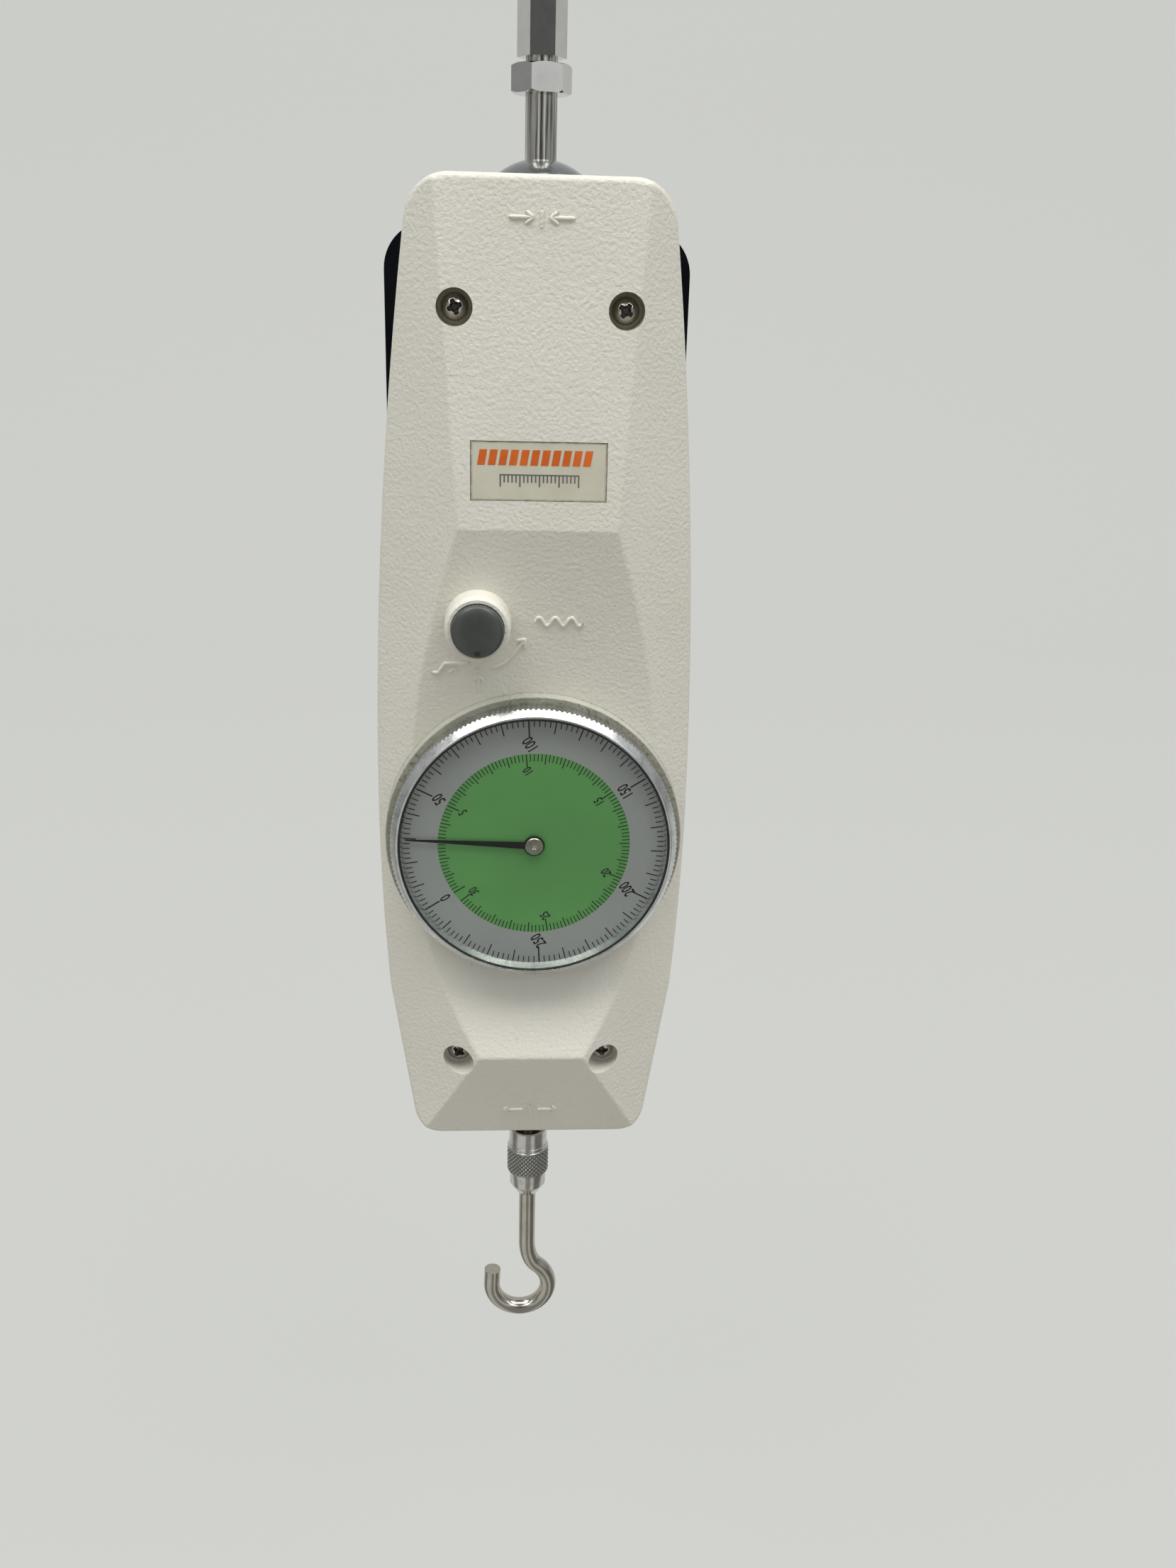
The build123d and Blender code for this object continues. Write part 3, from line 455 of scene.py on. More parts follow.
# painted shade: dark metal for the bottom of the screws' cross recesses
screw_recess_shade = metal_material("screw_recess_painted_shade", (0.10, 0.095, 0.085), 0.55, 0.3, strength=0.3, stain=0.2)
dark_steel = metal_material("blackened_steel", (0.07, 0.07, 0.07), 0.35, 0.3)
brass = metal_material("movement_brass", (0.72, 0.55, 0.29), 0.28, 0.3, (1, 1, 0.1), 0.15, 0.1)
spring_steel = metal_material("spring_steel", (0.30, 0.31, 0.33), 0.30, 0.3)
aluminium = metal_material("milled_aluminium", (0.72, 0.72, 0.73), 0.36, 0.3, (1, 1, 0.1), 0.2, 0.08)
dial_print = dial_material()
glass = glass_material()
knob_plastic = plastic_material("knob_plastic", (0.045, 0.051, 0.046), 0.30, 0.7, 0.06, 0.2)
dome_plastic = plastic_material("dome_plastic", (0.060, 0.068, 0.068), 0.12, 0.9, 0.03, 0.6)
ink = plastic_material("black_ink", (0.008, 0.008, 0.009), 0.5, 0.3, 0.02, gloss=0.1)
pointer_paint = plastic_material("pointer_paint", (0.009, 0.009, 0.010), 0.45, 0.3, 0.03, gloss=0.1)
hub_nickel = turned_material("hub_nickel", (0.42, 0.40, 0.34), 0.24, 0, DIAL_Z, 0.5)
# black for the knob's index dot, and as painted shadow in the gap round the crystal
black_dot_and_gap_shadow = plastic_material("black_dot_and_painted_gap_shadow", (0.008, 0.008, 0.008), 0.6, 0.4, 0.1)
orange_ink = plastic_material("orange_ink", (0.60, 0.125, 0.022), 0.5, 0.3, 0.02, gloss=0.2)
grey_ink = plastic_material("grey_ink", (0.14, 0.135, 0.13), 0.5, 0.3, 0.02, gloss=0.2)
label_ivory = label_material()

finishes = {
    "front_cover": paint, "rear_cover": black_coat, "label_plate": label_ivory, "mount_inserts": brass,
    "push_bush": dome_plastic, "pull_bush": dark_steel, "chassis_plate": aluminium,
    "spring_bracket": aluminium, "guide_block": aluminium, "foot_screws": screw_steel,
    "load_spring": spring_steel, "movement_plate": brass,
    "movement_bridge": brass, "standoffs": brass, "pillars": brass, "bridge_screws": screw_steel,
    "lever_post": rod_steel, "hairspring": spring_steel, "load_shaft": shaft_steel, "rack": brass,
    "shaft_collar": aluminium, "guide_pin": rod_steel, "lock_nut": chrome, "extension_rod": chrome,
    "push_head": chrome, "coupling": grip_chrome, "hook": hook_steel, "rack_pinion": brass,
    "drive_wheel": brass,
    "wheel_arbor": rod_steel, "centre_arbor": rod_steel, "centre_pinion": brass, "hold_wheel": brass,
    "pointer_hub": hub_nickel, "pointer": pointer_paint, "hold_lever": rod_steel, "bezel": bezel_metal,
    "crystal": glass, "dial_plate": dial_print, "snap_ring": spring_steel, "knob": knob_plastic,
    "knob_shaft": rod_steel, "knob_cam": rod_steel, "knob_clip": spring_steel, "cover_screws": screw_steel,
}
for node, material in finishes.items():
    for index in range(max(1, len(nodes[node].material_slots))):
        if not nodes[node].material_slots:
            nodes[node].data.materials.append(material)
        nodes[node].material_slots[index].material = material


# ---- bezel: knurled wall, bright bevel and inner wall ----
TEETH, TOOTH_DEPTH = 178, 0.27
WALL_RADIUS, WALL_TOP = 29.8, 45.7
BEVEL_RADIUS, BEVEL_TOP = 28.55, 47.2
BEVEL_RISE = (BEVEL_TOP - WALL_TOP) / (WALL_RADIUS - BEVEL_RADIUS)
bezel_profile = [(24.9, 36.5), (26.4, 36.5), (26.4, 37.25), (25.6, 37.25), (25.6, 38.05), (26.4, 38.05),
                 (26.4, 41.85), (29.35, 41.85), (WALL_RADIUS, 42.1), (WALL_RADIUS, 45.5),
                 (WALL_RADIUS, WALL_TOP), (BEVEL_RADIUS, BEVEL_TOP),
                 (28.46, 47.28), (28.36, 47.3), (28.1, 47.3), (28.06, 47.22), (28.06, 46.4), (27.95, 46.38),
                 (27.22, 45.02), (27.42, 45.01), (27.42, 44.2), (24.9, 44.2)]


WALL_POINTS = [index for index, place in enumerate(bezel_profile) if place[0] == WALL_RADIUS]


def knurled(index, angle, radius, height):
    """Cuts teeth into the wall. Its top edge stays on the bevel's cone, which leaves the scalloped rim."""
    if index not in WALL_POINTS:
        return radius, height
    radius -= TOOTH_DEPTH * (0.5 - 0.5 * math.cos(TEETH * angle))
    if index == WALL_POINTS[-1]:
        height = WALL_TOP + (WALL_RADIUS - radius) * BEVEL_RISE
    return radius, height


bezel = lathe("bezel_ring", bezel_profile, (0, DIAL_Z), TEETH * 8, "dial", shape=knurled)
sharpen(bezel, 32)
bezel.data.materials.append(bezel_metal)
bezel.data.materials.append(wall_metal)
for polygon in bezel.data.polygons:
    centre = polygon.center
    radius = math.hypot(centre.x, centre.z - DIAL_Z * MM) / MM
    if -centre.y / MM < WALL_TOP - 0.3 and radius > BEVEL_RADIUS - 0.05:
        polygon.material_index = 1
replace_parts(bezel, "bezel")

lens_profile = [(0, 46.4), (28.02, 46.4), (28.02, 46.85), (27.55, 47.12), (0, 47.14)]
lens = lathe("crystal_lens", lens_profile, (0, DIAL_Z), 180, "dial", close=False)
sharpen(lens, 20)
lens.data.materials.append(glass)
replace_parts(lens, "crystal")

# painted shadow: a thin black ring round the crystal's edge stands in for the shaded gap between bezel and
# crystal
gap_shadow_profile = [(27.62, 47.16), (27.92, 46.9), (28.04, 46.9), (28.04, 47.16), (27.85, 47.22)]
gap_shadow_ring = lathe("crystal_gap_shadow", gap_shadow_profile, (0, DIAL_Z), 180, "dial")
gap_shadow_ring.data.materials.append(black_dot_and_gap_shadow)


# ---- dial print: scales and plain numbers, upright in the dial's own frame ----
FULL_SCALE = 300.0                          # newtons in one turn
OUTER_DEGREES = 360.0 / FULL_SCALE          # for one newton
INNER_DEGREES = 360.0 * 9.80665 / FULL_SCALE   # for one kilogram-force
OUTER_RADIUS, INNER_RADIUS = 27.1, DISC_RADIUS - 0.02


def dial_place(angle, radius, side=0.0):
    """A point on the dial: angle clockwise from its zero, side to the right of the radius."""
    turn = math.radians(DIAL_TURN - angle)
    return (-radius * math.sin(turn) + side * math.cos(turn),
            DIAL_Z + radius * math.cos(turn) + side * math.sin(turn))


def tick(verts, faces, angle, outer, inner, width):
    low, high = DIAL_H - 0.01, DIAL_H + 0.02
    corners = [dial_place(angle, r, s) for r, s in
               ((outer, -width / 2), (outer, width / 2), (inner, width / 2), (inner, -width / 2))]
    first = len(verts)
    for height in (low, high):
        verts.extend(point(x, height, z) for x, z in corners)
    faces.extend(slab_faces(first))


verts, faces = [], []
for count in range(150):
    length, width = (3.6, 0.29) if count % 25 == 0 else (2.6, 0.23) if count % 5 == 0 else (1.35, 0.20)
    tick(verts, faces, count * 2 * OUTER_DEGREES, OUTER_RADIUS, OUTER_RADIUS - length, width)
for count in range(151):
    length, width = (2.8, 0.22) if count % 25 == 0 else (2.2, 0.20) if count % 5 == 0 else (1.6, 0.18)
    tick(verts, faces, count * INNER_DEGREES / 5, INNER_RADIUS, INNER_RADIUS - length, width)
ticks = mesh_object("dial_ticks", verts, faces, "dial", False, [ink])


def number(value, scale, degrees, radius, height):
    """A plain number of this height, narrowed, at its place on a scale."""
    squeeze = 0.62
    name = f"{scale}_{value}"
    curve = bpy.data.curves.new(name, "FONT")
    curve.body = str(value)
    curve.size = 1.0
    curve.align_x = "CENTER"
    curve.align_y = "CENTER"
    curve.extrude = 0.012
    curve.offset = 0.012
    curve.resolution_u = 6
    obj = link(name, curve)
    bpy.context.view_layer.update()
    mesh = bpy.data.meshes.new_from_object(obj)
    bpy.data.objects.remove(obj)
    tops = [v.co.y for v in mesh.vertices]
    tall = max(tops) - min(tops)
    middle = (max(tops) + min(tops)) / 2
    sides = [v.co.x for v in mesh.vertices]
    centre = (max(sides) + min(sides)) / 2
    turn = math.radians(DIAL_TURN)
    at = dial_place(value * degrees, radius)
    size = height / tall
    for vertex in mesh.vertices:
        across = (vertex.co.x - centre) * size * squeeze
        up = (vertex.co.y - middle) * size
        lift = DIAL_H + 0.008 + vertex.co.z
        x = at[0] + across * math.cos(turn) - up * math.sin(turn)
        z = at[1] + across * math.sin(turn) + up * math.cos(turn)
        vertex.co = point(x, lift, z)
    mesh.materials.clear()
    mesh.materials.append(ink)
    piece = link(name, mesh)
    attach(piece, "dial")


for value in range(0, 300, 50):
    number(value, "scale", OUTER_DEGREES, 22.1, 2.45)
for value in range(5, 35, 5):
    number(value, "inner", INNER_DEGREES, 16.4, 1.95)


# ---- cover screws: domed heads with worn cross recesses ----
HEAD_RADIUS, SHANK_RADIUS = 2.5, 1.5
HEAD_TOP, HEAD_RIM, SHANK_END = 40.0, 38.0, 7.0
SLOT_HALF, SLOT_REACH, SLOT_DEPTH = 0.44, 1.45, 1.15


def clamp(value):
    return min(1.0, max(0.0, value))


def screw(name, x, z, turn):
    rings, steps = 26, 96
    verts = []
    for ring in range(rings + 1):
        radius = HEAD_RADIUS * ring / rings
        for step in range(steps):
            angle = 2 * math.pi * step / steps
            dome = 1.62 * math.sqrt(max(0.0, 1 - (radius / 2.62) ** 2)) + 0.34
            local = angle - turn
            u, v = abs(radius * math.cos(local)), abs(radius * math.sin(local))
            long, short = max(u, v), min(u, v)
            arm = clamp((SLOT_HALF - short) / 0.16) * clamp((SLOT_REACH - long) / 0.35)
            core = clamp((0.95 - radius) / 0.35)
            dome -= SLOT_DEPTH * max(arm * (1 - 0.25 * long), core)
            verts.append(point(x + radius * math.cos(angle), min(HEAD_RIM + dome, HEAD_TOP),
                               z + radius * math.sin(angle)))
    faces = []
    for ring in range(rings):
        for step in range(steps):
            after = (step + 1) % steps
            inner, outer = ring * steps, (ring + 1) * steps
            faces.append((inner + step, outer + step, outer + after, inner + after))
    edge = rings * steps
    under_head = ((HEAD_RADIUS, HEAD_RIM + 0.05), (SHANK_RADIUS, HEAD_RIM), (SHANK_RADIUS, SHANK_END))
    for radius, height in under_head:
        start = len(verts)
        verts.extend(point(x + radius * math.cos(2 * math.pi * s / steps), height,
                           z + radius * math.sin(2 * math.pi * s / steps)) for s in range(steps))
        for step in range(steps):
            after = (step + 1) % steps
            faces.append((edge + step, start + step, start + after, edge + after))
        edge = start
    faces.append(tuple(range(edge, edge + steps)))
    obj = mesh_object(name, verts, faces, "casing", True, [screw_steel, screw_recess_shade])
    tidy(obj)
    # the bottom of the cross recess gets the dark metal as painted shade
    for polygon in obj.data.polygons:
        centre = polygon.center
        radius = math.hypot(centre.x / MM - x, centre.z / MM - z)
        if radius < SHANK_RADIUS and -centre.y / MM < HEAD_TOP - 0.85:
            polygon.material_index = 1
    sharpen(obj, 40)
    return obj


screw_places = ((-SCREW_X, UPPER_SCREW_Z, 0.35), (SCREW_X, UPPER_SCREW_Z, -0.6),
                (-SCREW_X, LOWER_SCREW_Z, 0.9), (SCREW_X, LOWER_SCREW_Z, 0.1))
for count, (x, z, turn) in enumerate(screw_places, 1):
    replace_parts(screw(f"cover_screw_{count}", x, z, turn), "cover_screws")


# ---- knob: domed cap with a sunk index dot ----
KNOB_RIBS = 60
knob_profile = [(0, 47.1), (5.05, 47.1), (5.2, 47.3), (5.2, 49.35), (5.12, 49.75), (4.9, 50.02), (4.5, 50.2),
                (3.6, 50.36), (2.2, 50.46), (0, 50.5)]


def ribbed(index, angle, radius, height):
    if index in (2, 3):
        radius -= 0.04 * (1 - math.cos(KNOB_RIBS * angle))
    return radius, height


knob = lathe("knob_cap", knob_profile, (KNOB_X, KNOB_Z), KNOB_RIBS * 8, "selector", shape=ribbed,
             close=False)
sharpen(knob, 50)
knob.data.materials.append(knob_plastic)
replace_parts(knob, "knob")
dot_profile = [(0, 50.1), (0.58, 50.1), (0.58, 50.34), (0.46, 50.38), (0, 50.34)]
dot = lathe("knob_dot", dot_profile, (KNOB_X, KNOB_Z - 4.0), 32, "selector", close=False)
dot.data.materials.append(black_dot_and_gap_shadow)


# ---- coupling with a diamond knurl ----
KNURL_STARTS, KNURL_LEAN, KNURL_DEPTH, KNURL_FADE = 30, 5.6, 0.28, 0.4


def coupling_radius(index, angle, radius, height):
    if not GRIP_BOTTOM < height < GRIP_TOP or radius < GRIP_RADIUS:
        return radius, height
    up = height - GRIP_BOTTOM
    fade = min(1.0, (GRIP_TOP - height) / KNURL_FADE, up / KNURL_FADE)
    first = math.cos(KNURL_STARTS * angle + up * KNURL_LEAN)
    second = math.cos(KNURL_STARTS * angle - up * KNURL_LEAN)
    return radius + 0.09 * fade - KNURL_DEPTH * fade * (0.5 - 0.25 * (first + second)), height


coupling_profile = [(0, COUPLING_TOP), (4.2, COUPLING_TOP), (4.5, COUPLING_TOP - 0.25),
                    (4.5, COUPLING_TOP - 4.2), (4.62, COUPLING_TOP - 4.35), (4.62, COUPLING_TOP - 5.0),
                    (4.78, COUPLING_TOP - 5.15)]
coupling_profile += [(GRIP_RADIUS, GRIP_TOP - 0.1 * count) for count in range(65)]
coupling_profile += [(4.7, COUPLING_TOP - 11.9), (4.25, COUPLING_TOP - 12.1), (4.25, COUPLING_TOP - 15.6),
                     (4.1, COUPLING_TOP - 15.85), (2.6, COUPLING_TOP - 18.25), (2.4, COUPLING_TOP - 18.45),
                     (0, COUPLING_TOP - 18.45)]
coupling = lathe("knurled_coupling", coupling_profile, (0, AXIS_H), 360, "shaft", axis="Z",
                 shape=coupling_radius, close=False)
sharpen(coupling, 35)
coupling.data.materials.append(grip_chrome)
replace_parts(coupling, "coupling")


# ---- load spring ----
def spring_coil():
    low, high = (corner[2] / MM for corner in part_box("load_spring"))
    wire, radius, turns, sides, steps = 1.0, 6.0, 9, 14, 48
    verts, faces = [], []
    count = turns * steps + 1
    for step in range(count):
        angle = 2 * math.pi * step / steps
        z = low + wire + (high - low - 2 * wire) * step / (count - 1)
        for side in range(sides):
            turn = 2 * math.pi * side / sides
            across = radius + wire * math.cos(turn)
            verts.append(point(across * math.cos(angle), AXIS_H - across * math.sin(angle),
                               z + wire * math.sin(turn)))
    for step in range(count - 1):
        for side in range(sides):
            after = (side + 1) % sides
            a, b = step * sides, (step + 1) * sides
            faces.append((a + side, b + side, b + after, a + after))
    faces.append(tuple(range(sides)))
    faces.append(tuple(range(count * sides - 1, (count - 1) * sides - 1, -1)))
    obj = mesh_object("load_coil", verts, faces, "casing", True, [spring_steel])
    tidy(obj)
    sharpen(obj, 50)
    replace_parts(obj, "load_spring")
    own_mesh(obj)


spring_coil()


# ---- raised marks on the cover ----
cover_tree = BVHTree.FromObject(nodes["front_cover"], bpy.context.evaluated_depsgraph_get())


MARK_WIDTH, DOT_WIDTH = 0.40, 0.48
DROP_HEIGHT = 80.0                          # marks are dropped onto the cover from here


def on_cover(x, z):
    """The cover's skin and its normal, straight behind a point in front of it."""
    place, normal, _, _ = cover_tree.ray_cast(Vector(point(x, DROP_HEIGHT, z)), Vector((0, 1, 0)))
    return place, normal


def stroke(points, width=MARK_WIDTH):
    """Points along a line on the cover, close enough together to follow its surface."""
    fine = []
    for (x0, z0), (x1, z1) in zip(points, points[1:]):
        parts = max(1, int(math.hypot(x1 - x0, z1 - z0) / 0.4))
        fine.extend((x0 + (x1 - x0) * i / parts, z0 + (z1 - z0) * i / parts) for i in range(parts))
    fine.append(points[-1])
    return fine, width


def mark(name, strokes):
    """Rounded raised lines that stand a little out of the cover's skin."""
    sides = 10
    verts, faces = [], []
    for points, width in strokes:
        path = [on_cover(x, z) for x, z in points]
        first = len(verts)
        for index, (place, normal) in enumerate(path):
            before = path[max(index - 1, 0)][0]
            after = path[min(index + 1, len(path) - 1)][0]
            along = (after - before).normalized()
            across = along.cross(normal).normalized()
            half = width * (0.55 if index in (0, len(path) - 1) else 1.0)
            for side in range(sides):
                angle = 2 * math.pi * side / sides
                offset = across * math.cos(angle) * half + normal * math.sin(angle) * 1.05 * half
                verts.append(place + offset * MM)
        for index in range(len(path) - 1):
            for side in range(sides):
                after = (side + 1) % sides
                a = first + index * sides
                faces.append((a + side, a + after, a + sides + after, a + sides + side))
        last = first + (len(path) - 1) * sides
        faces.append(tuple(range(first, first + sides)))
        faces.append(tuple(range(last + sides - 1, last - 1, -1)))
    obj = mesh_object(name, verts, faces, "casing", True, [paint])


def arrow_head(x, z, dx, dz, size):
    length = math.hypot(dx, dz)
    ux, uz = dx / length, dz / length
    left = (x - size * (ux - 0.75 * uz), z - size * (uz + 0.75 * ux))
    right = (x - size * (ux + 0.75 * uz), z - size * (uz - 0.75 * ux))
    return [stroke([left, (x, z), right])]


def dot_mark(x, z):
    return [(x - 0.05, z), (x + 0.05, z)], DOT_WIDTH


# the turning arrow from the peak dot to the follow dot, and the arrow up to the peak dot
sweep = [(-9.0, 36.4), (-7.5, 36.85), (-6.2, 37.6), (-5.0, 38.75), (-4.0, 40.2), (-3.1, 41.4), (-2.3, 42.6)]
marks = [stroke([(x, DIAL_Z + z) for x, z in sweep]), dot_mark(-11.6, DIAL_Z + 36.37),
         dot_mark(-2.0, DIAL_Z + 46.8), stroke([(-11.6, DIAL_Z + 31.32), (-11.6, DIAL_Z + 34.7)]),
         stroke([(-3.9, DIAL_Z + 42.3), (-2.3, DIAL_Z + 42.6), (-2.3, DIAL_Z + 40.8)])]
marks += arrow_head(-11.6, DIAL_Z + 34.88, 0, 1, 1.3)
mark("selector_marks", marks)
hold = [(-21.1, 35.3), (-19.7, 35.3), (-18.4, 37.3), (-13.2, 37.3)]
mark("hold_symbol", [stroke([(x, DIAL_Z + z) for x, z in hold]),
                     stroke([(-17.6, DIAL_Z + 35.3), (-16.6, DIAL_Z + 36.2), (-15.6, DIAL_Z + 35.3)], 0.28)])
wave = [(-0.3 + 0.37 * i, DIAL_Z + 46.4 + 0.9 * math.sin(i * 0.72)) for i in range(27)]
mark("follow_symbol", [stroke(wave)])


def force_symbol(name, z, size, inward):
    strokes = [stroke([(0, z - size * 0.55), (0, z + size * 0.55)])]
    for side in (-1, 1):
        near, far = side * 1.6, side * 6.0
        strokes.append(stroke([(far, z), (near, z)]))
        tip, aim = (near, -side) if inward else (far, side)
        strokes += arrow_head(tip, z, aim, 0, size * 0.46)
    mark(name, strokes)


force_symbol("push_symbol", DIAL_Z + 121.3, 3.0, True)
force_symbol("pull_symbol", DIAL_Z - 66.4, 2.8, False)


# ---- label print: plain bars and a plain scale ----
COVER_FALL = 2.7 / 63.7                     # how fast the cover falls towards the push end
FALL_UP, FALL_H = 65.0, 43.7                # where that starts above the dial, and the height there
LABEL_SUNK = 0.1


def label_point(x, up, lift):
    """A point on the label: up along it from its centre, lift out of its face."""
    tilt = math.atan(COVER_FALL)
    face = FALL_H - (LABEL_UP - FALL_UP) * COVER_FALL - LABEL_SUNK / math.cos(tilt)
    h = face - up * math.sin(tilt) + lift * math.cos(tilt)
    return point(x, h, DIAL_Z + LABEL_UP + up * math.cos(tilt) + lift * math.sin(tilt))


def label_bars(name, bars, material):
    verts, faces = [], []
    for x0, x1, low, high, lean in bars:
        first = len(verts)
        outline = [(x0, low), (x1, low), (x1 + lean, high), (x0 + lean, high)]
        for lift in (-0.02, 0.03):
            verts.extend(label_point(x, up, lift) for x, up in outline)
        faces.extend(slab_faces(first))
    obj = mesh_object(name, verts, faces, "casing", False, [material])


stripe = [(-11.8 + 2.02 * i, -11.8 + 2.02 * i + 1.45, 1.1, 4.0, 0.5) for i in range(11)]
label_bars("label_stripe", stripe, orange_ink)
scale = [(-7.5 + 0.75 * i, -7.22 + 0.75 * i, -2.9 if i % 5 == 0 else -2.1, -0.8, 0.0) for i in range(21)]
label_bars("label_scale", scale + [(-7.5, 7.78, -0.8, -0.55, 0.0)], grey_ink)


# ---- pointer hub with a turned dimple ----
hub_profile = [(0, 45.3), (1.9, 45.3), (1.9, 46.0), (1.72, 46.18), (0.62, 46.2), (0.42, 46.08), (0.3, 45.95),
               (0, 45.92)]
hub = lathe("hub_cap", hub_profile, (0, DIAL_Z), 96, "hand", close=False)
sharpen(hub, 28)
hub.data.materials.append(hub_nickel)
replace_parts(hub, "pointer_hub")


# ---- stage, lights and camera ----
FLOOR_Z, FLOOR_FRONT, FLOOR_BACK, FLOOR_HALF = -0.235, -2.5, 0.9, 3.0      # metres
BEND, WALL_HEIGHT = 0.5, 3.0


def stage():
    """A pale floor that bends up into a backdrop."""
    profile = [(FLOOR_FRONT, FLOOR_Z)]
    for step in range(13):
        angle = math.pi / 2 * step / 12
        profile.append((FLOOR_BACK + BEND * math.sin(angle), FLOOR_Z + BEND - BEND * math.cos(angle)))
    profile.append((FLOOR_BACK + BEND, WALL_HEIGHT))
    verts = [(x, y, z) for y, z in profile for x in (-FLOOR_HALF, FLOOR_HALF)]
    faces = [(2 * i, 2 * i + 1, 2 * i + 3, 2 * i + 2) for i in range(len(profile) - 1)]
    mesh = bpy.data.meshes.new("floor")
    mesh.from_pydata(verts, [], faces)
    for polygon in mesh.polygons:
        polygon.use_smooth = True
    obj = link("floor", mesh)
    material, tree, shader = new_material("pale_floor", (0.42, 0.405, 0.37), 0.9)
    speckle = mix(tree, noise(tree, 300.0, 3.0), (0.41, 0.395, 0.36), (0.43, 0.415, 0.38))
    tree.links.new(speckle, shader.inputs["Base Color"])
    glow = add(tree, "ShaderNodeEmission")
    glow.inputs["Color"].default_value = (0.68, 0.695, 0.67, 1)
    path = add(tree, "ShaderNodeLightPath")
    seen = math_node(tree, "MAXIMUM", path.outputs["Is Camera Ray"], path.outputs["Is Glossy Ray"])
    seen = math_node(tree, "MAXIMUM", seen, path.outputs["Is Transmission Ray"])
    # metal sees darker stretches of floor in front of the object, to its right and far to its left
    place = own_place(tree)
    bearing = math_node(tree, "ARCTAN2", place["X"], times(tree, place["Y"], -1.0))
    front = times(tree, ramp(tree, bearing, -0.30, -0.16), ramp(tree, bearing, 0.34, 0.20))
    right = times(tree, ramp(tree, bearing, 0.52, 0.70), ramp(tree, bearing, 1.75, 1.35))
    left = times(tree, ramp(tree, bearing, -1.9, -1.6), ramp(tree, bearing, -1.0, -1.25))
    shade = math_node(tree, "MAXIMUM", times(tree, front, 0.62), times(tree, right, 0.80))
    shade = math_node(tree, "MAXIMUM", shade, times(tree, left, 0.70))
    shade = times(tree, shade, path.outputs["Is Glossy Ray"])
    tree.links.new(math_node(tree, "SUBTRACT", 1.0, shade), glow.inputs["Strength"])
    blend = add(tree, "ShaderNodeMixShader")
    tree.links.new(times(tree, seen, 0.80), blend.inputs["Fac"])
    tree.links.new(shader.outputs["BSDF"], blend.inputs[1])
    tree.links.new(glow.outputs["Emission"], blend.inputs[2])
    tree.links.new(blend.outputs["Shader"], tree.nodes["Material Output"].inputs["Surface"])
    mesh.materials.append(material)


def lamp(name, place, size, energy):
    """A warm white panel that shines on the object."""
    light = bpy.data.lights.new(name, "AREA")
    light.shape = "RECTANGLE"
    light.size, light.size_y = size
    light.energy = energy
    light.color = (1.0, 0.985, 0.96)
    obj = link(name, light)
    obj.location = place
    obj.rotation_euler = (Vector((0, 0, 0)) - Vector(place)).to_track_quat("-Z", "Y").to_euler()


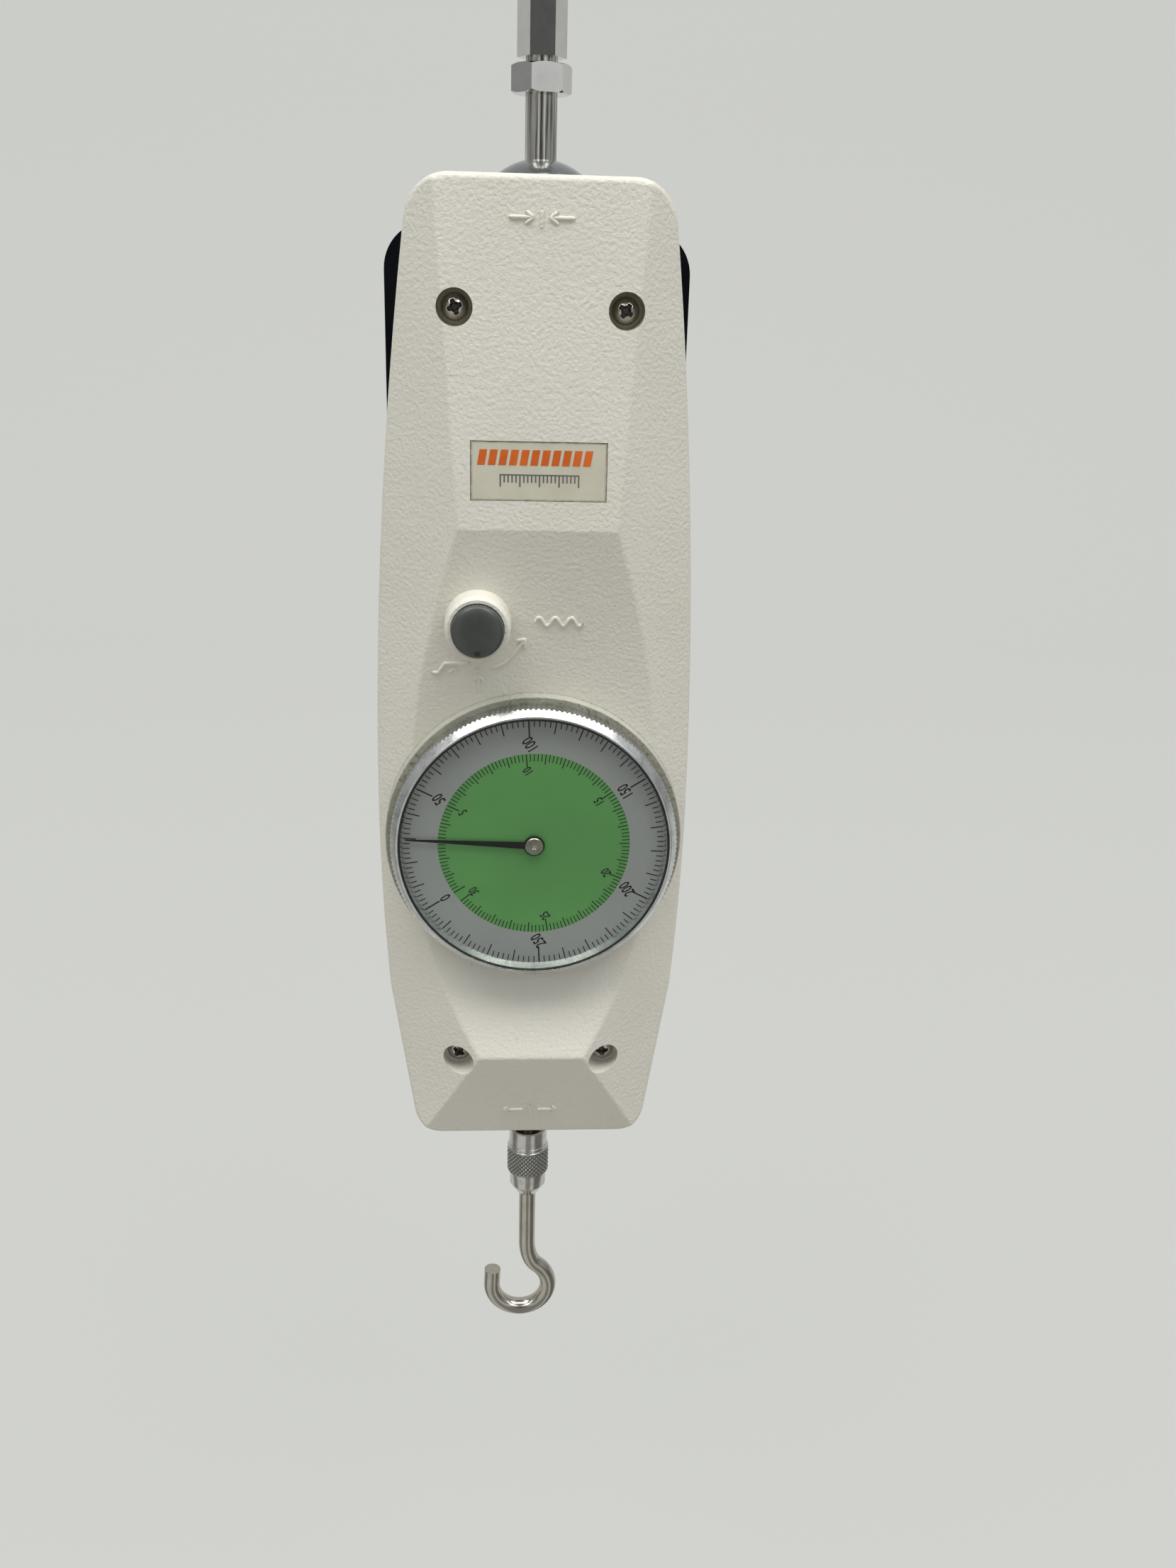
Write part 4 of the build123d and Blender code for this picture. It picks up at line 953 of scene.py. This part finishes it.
def world():
    """A pale room, bright overhead and dim low down, with a dark gap in front and bright strips beside it."""
    sky = bpy.data.worlds.new("studio")
    bpy.context.scene.world = sky
    sky.use_nodes = True
    tree = sky.node_tree
    background = tree.nodes["Background"]
    source = add(tree, "ShaderNodeTexCoord")
    split = add(tree, "ShaderNodeSeparateXYZ")
    path = add(tree, "ShaderNodeLightPath")
    tree.links.new(source.outputs["Generated"], split.inputs["Vector"])
    across = math_node(tree, "ABSOLUTE", split.outputs["X"])
    height = ramp(tree, split.outputs["Z"], -0.5, 0.7, 0.08, 0.56)
    gap = ramp(tree, across, 0.05, 0.20, 0.35, 1.0)
    strip = times(tree, ramp(tree, across, 0.26, 0.32), ramp(tree, across, 0.52, 0.46))
    strip = math_node(tree, "ADD", 1.0, times(tree, strip, 1.3))
    up = split.outputs["Z"]
    tube = times(tree, ramp(tree, up, 0.42, 0.45), ramp(tree, up, 0.58, 0.55))   # a lamp that metal sees
    tube = times(tree, tube, ramp(tree, split.outputs["Y"], -0.3, -0.5))
    tube = times(tree, tube, path.outputs["Is Glossy Ray"])
    tube = math_node(tree, "ADD", 1.0, times(tree, tube, 4.0))
    level = times(tree, times(tree, height, gap), times(tree, strip, tube))
    tone = mix(tree, path.outputs["Is Camera Ray"], (0.97, 0.99, 1.0), (0.645, 0.655, 0.625))
    tree.links.new(tone, background.inputs["Color"])
    seen = add(tree, "ShaderNodeMix", data_type="FLOAT")
    tree.links.new(path.outputs["Is Camera Ray"], seen.inputs[0])
    tree.links.new(level, seen.inputs[2])
    seen.inputs[3].default_value = 1.0
    tree.links.new(seen.outputs[0], background.inputs["Strength"])


stage()
world()
lamp("ceiling_left", (-0.62, -0.34, 1.10), (0.7, 0.5), 4.9)
lamp("ceiling_mid", (0.0, -0.42, 1.20), (0.8, 0.5), 6.2)
lamp("ceiling_right", (0.62, -0.34, 1.10), (0.7, 0.5), 5.4)

# the camera, solved from the photograph
SENSOR = 36.0
FRAME_PIXELS, FOCAL_PIXELS = 2212.0, 1973.2
CAMERA_PLACE = (-7.164, -314.754, 79.177)
PITCH, YAW, ROLL = math.radians(19.765), math.radians(3.830), math.radians(-1.557)
forward = Vector((math.sin(YAW) * math.cos(PITCH), math.cos(YAW) * math.cos(PITCH), -math.sin(PITCH)))
level = forward.cross(Vector((0, 0, 1))).normalized()
down = forward.cross(level)
right = level * math.cos(ROLL) + down * math.sin(ROLL)
under = down * math.cos(ROLL) - level * math.sin(ROLL)
camera_data = bpy.data.cameras.new("camera")
camera_data.sensor_fit = "VERTICAL"
camera_data.sensor_height = SENSOR
camera_data.lens = SENSOR * FOCAL_PIXELS / FRAME_PIXELS
camera_data.clip_start = 0.01
camera = link("camera", camera_data)
turn = Matrix((right, -under, -forward)).transposed()
camera.matrix_world = Matrix.Translation(Vector(CAMERA_PLACE) * MM) @ turn.to_4x4()
bpy.context.scene.camera = camera
bpy.context.scene.view_settings.view_transform = "Standard"

bpy.context.view_layer.update()
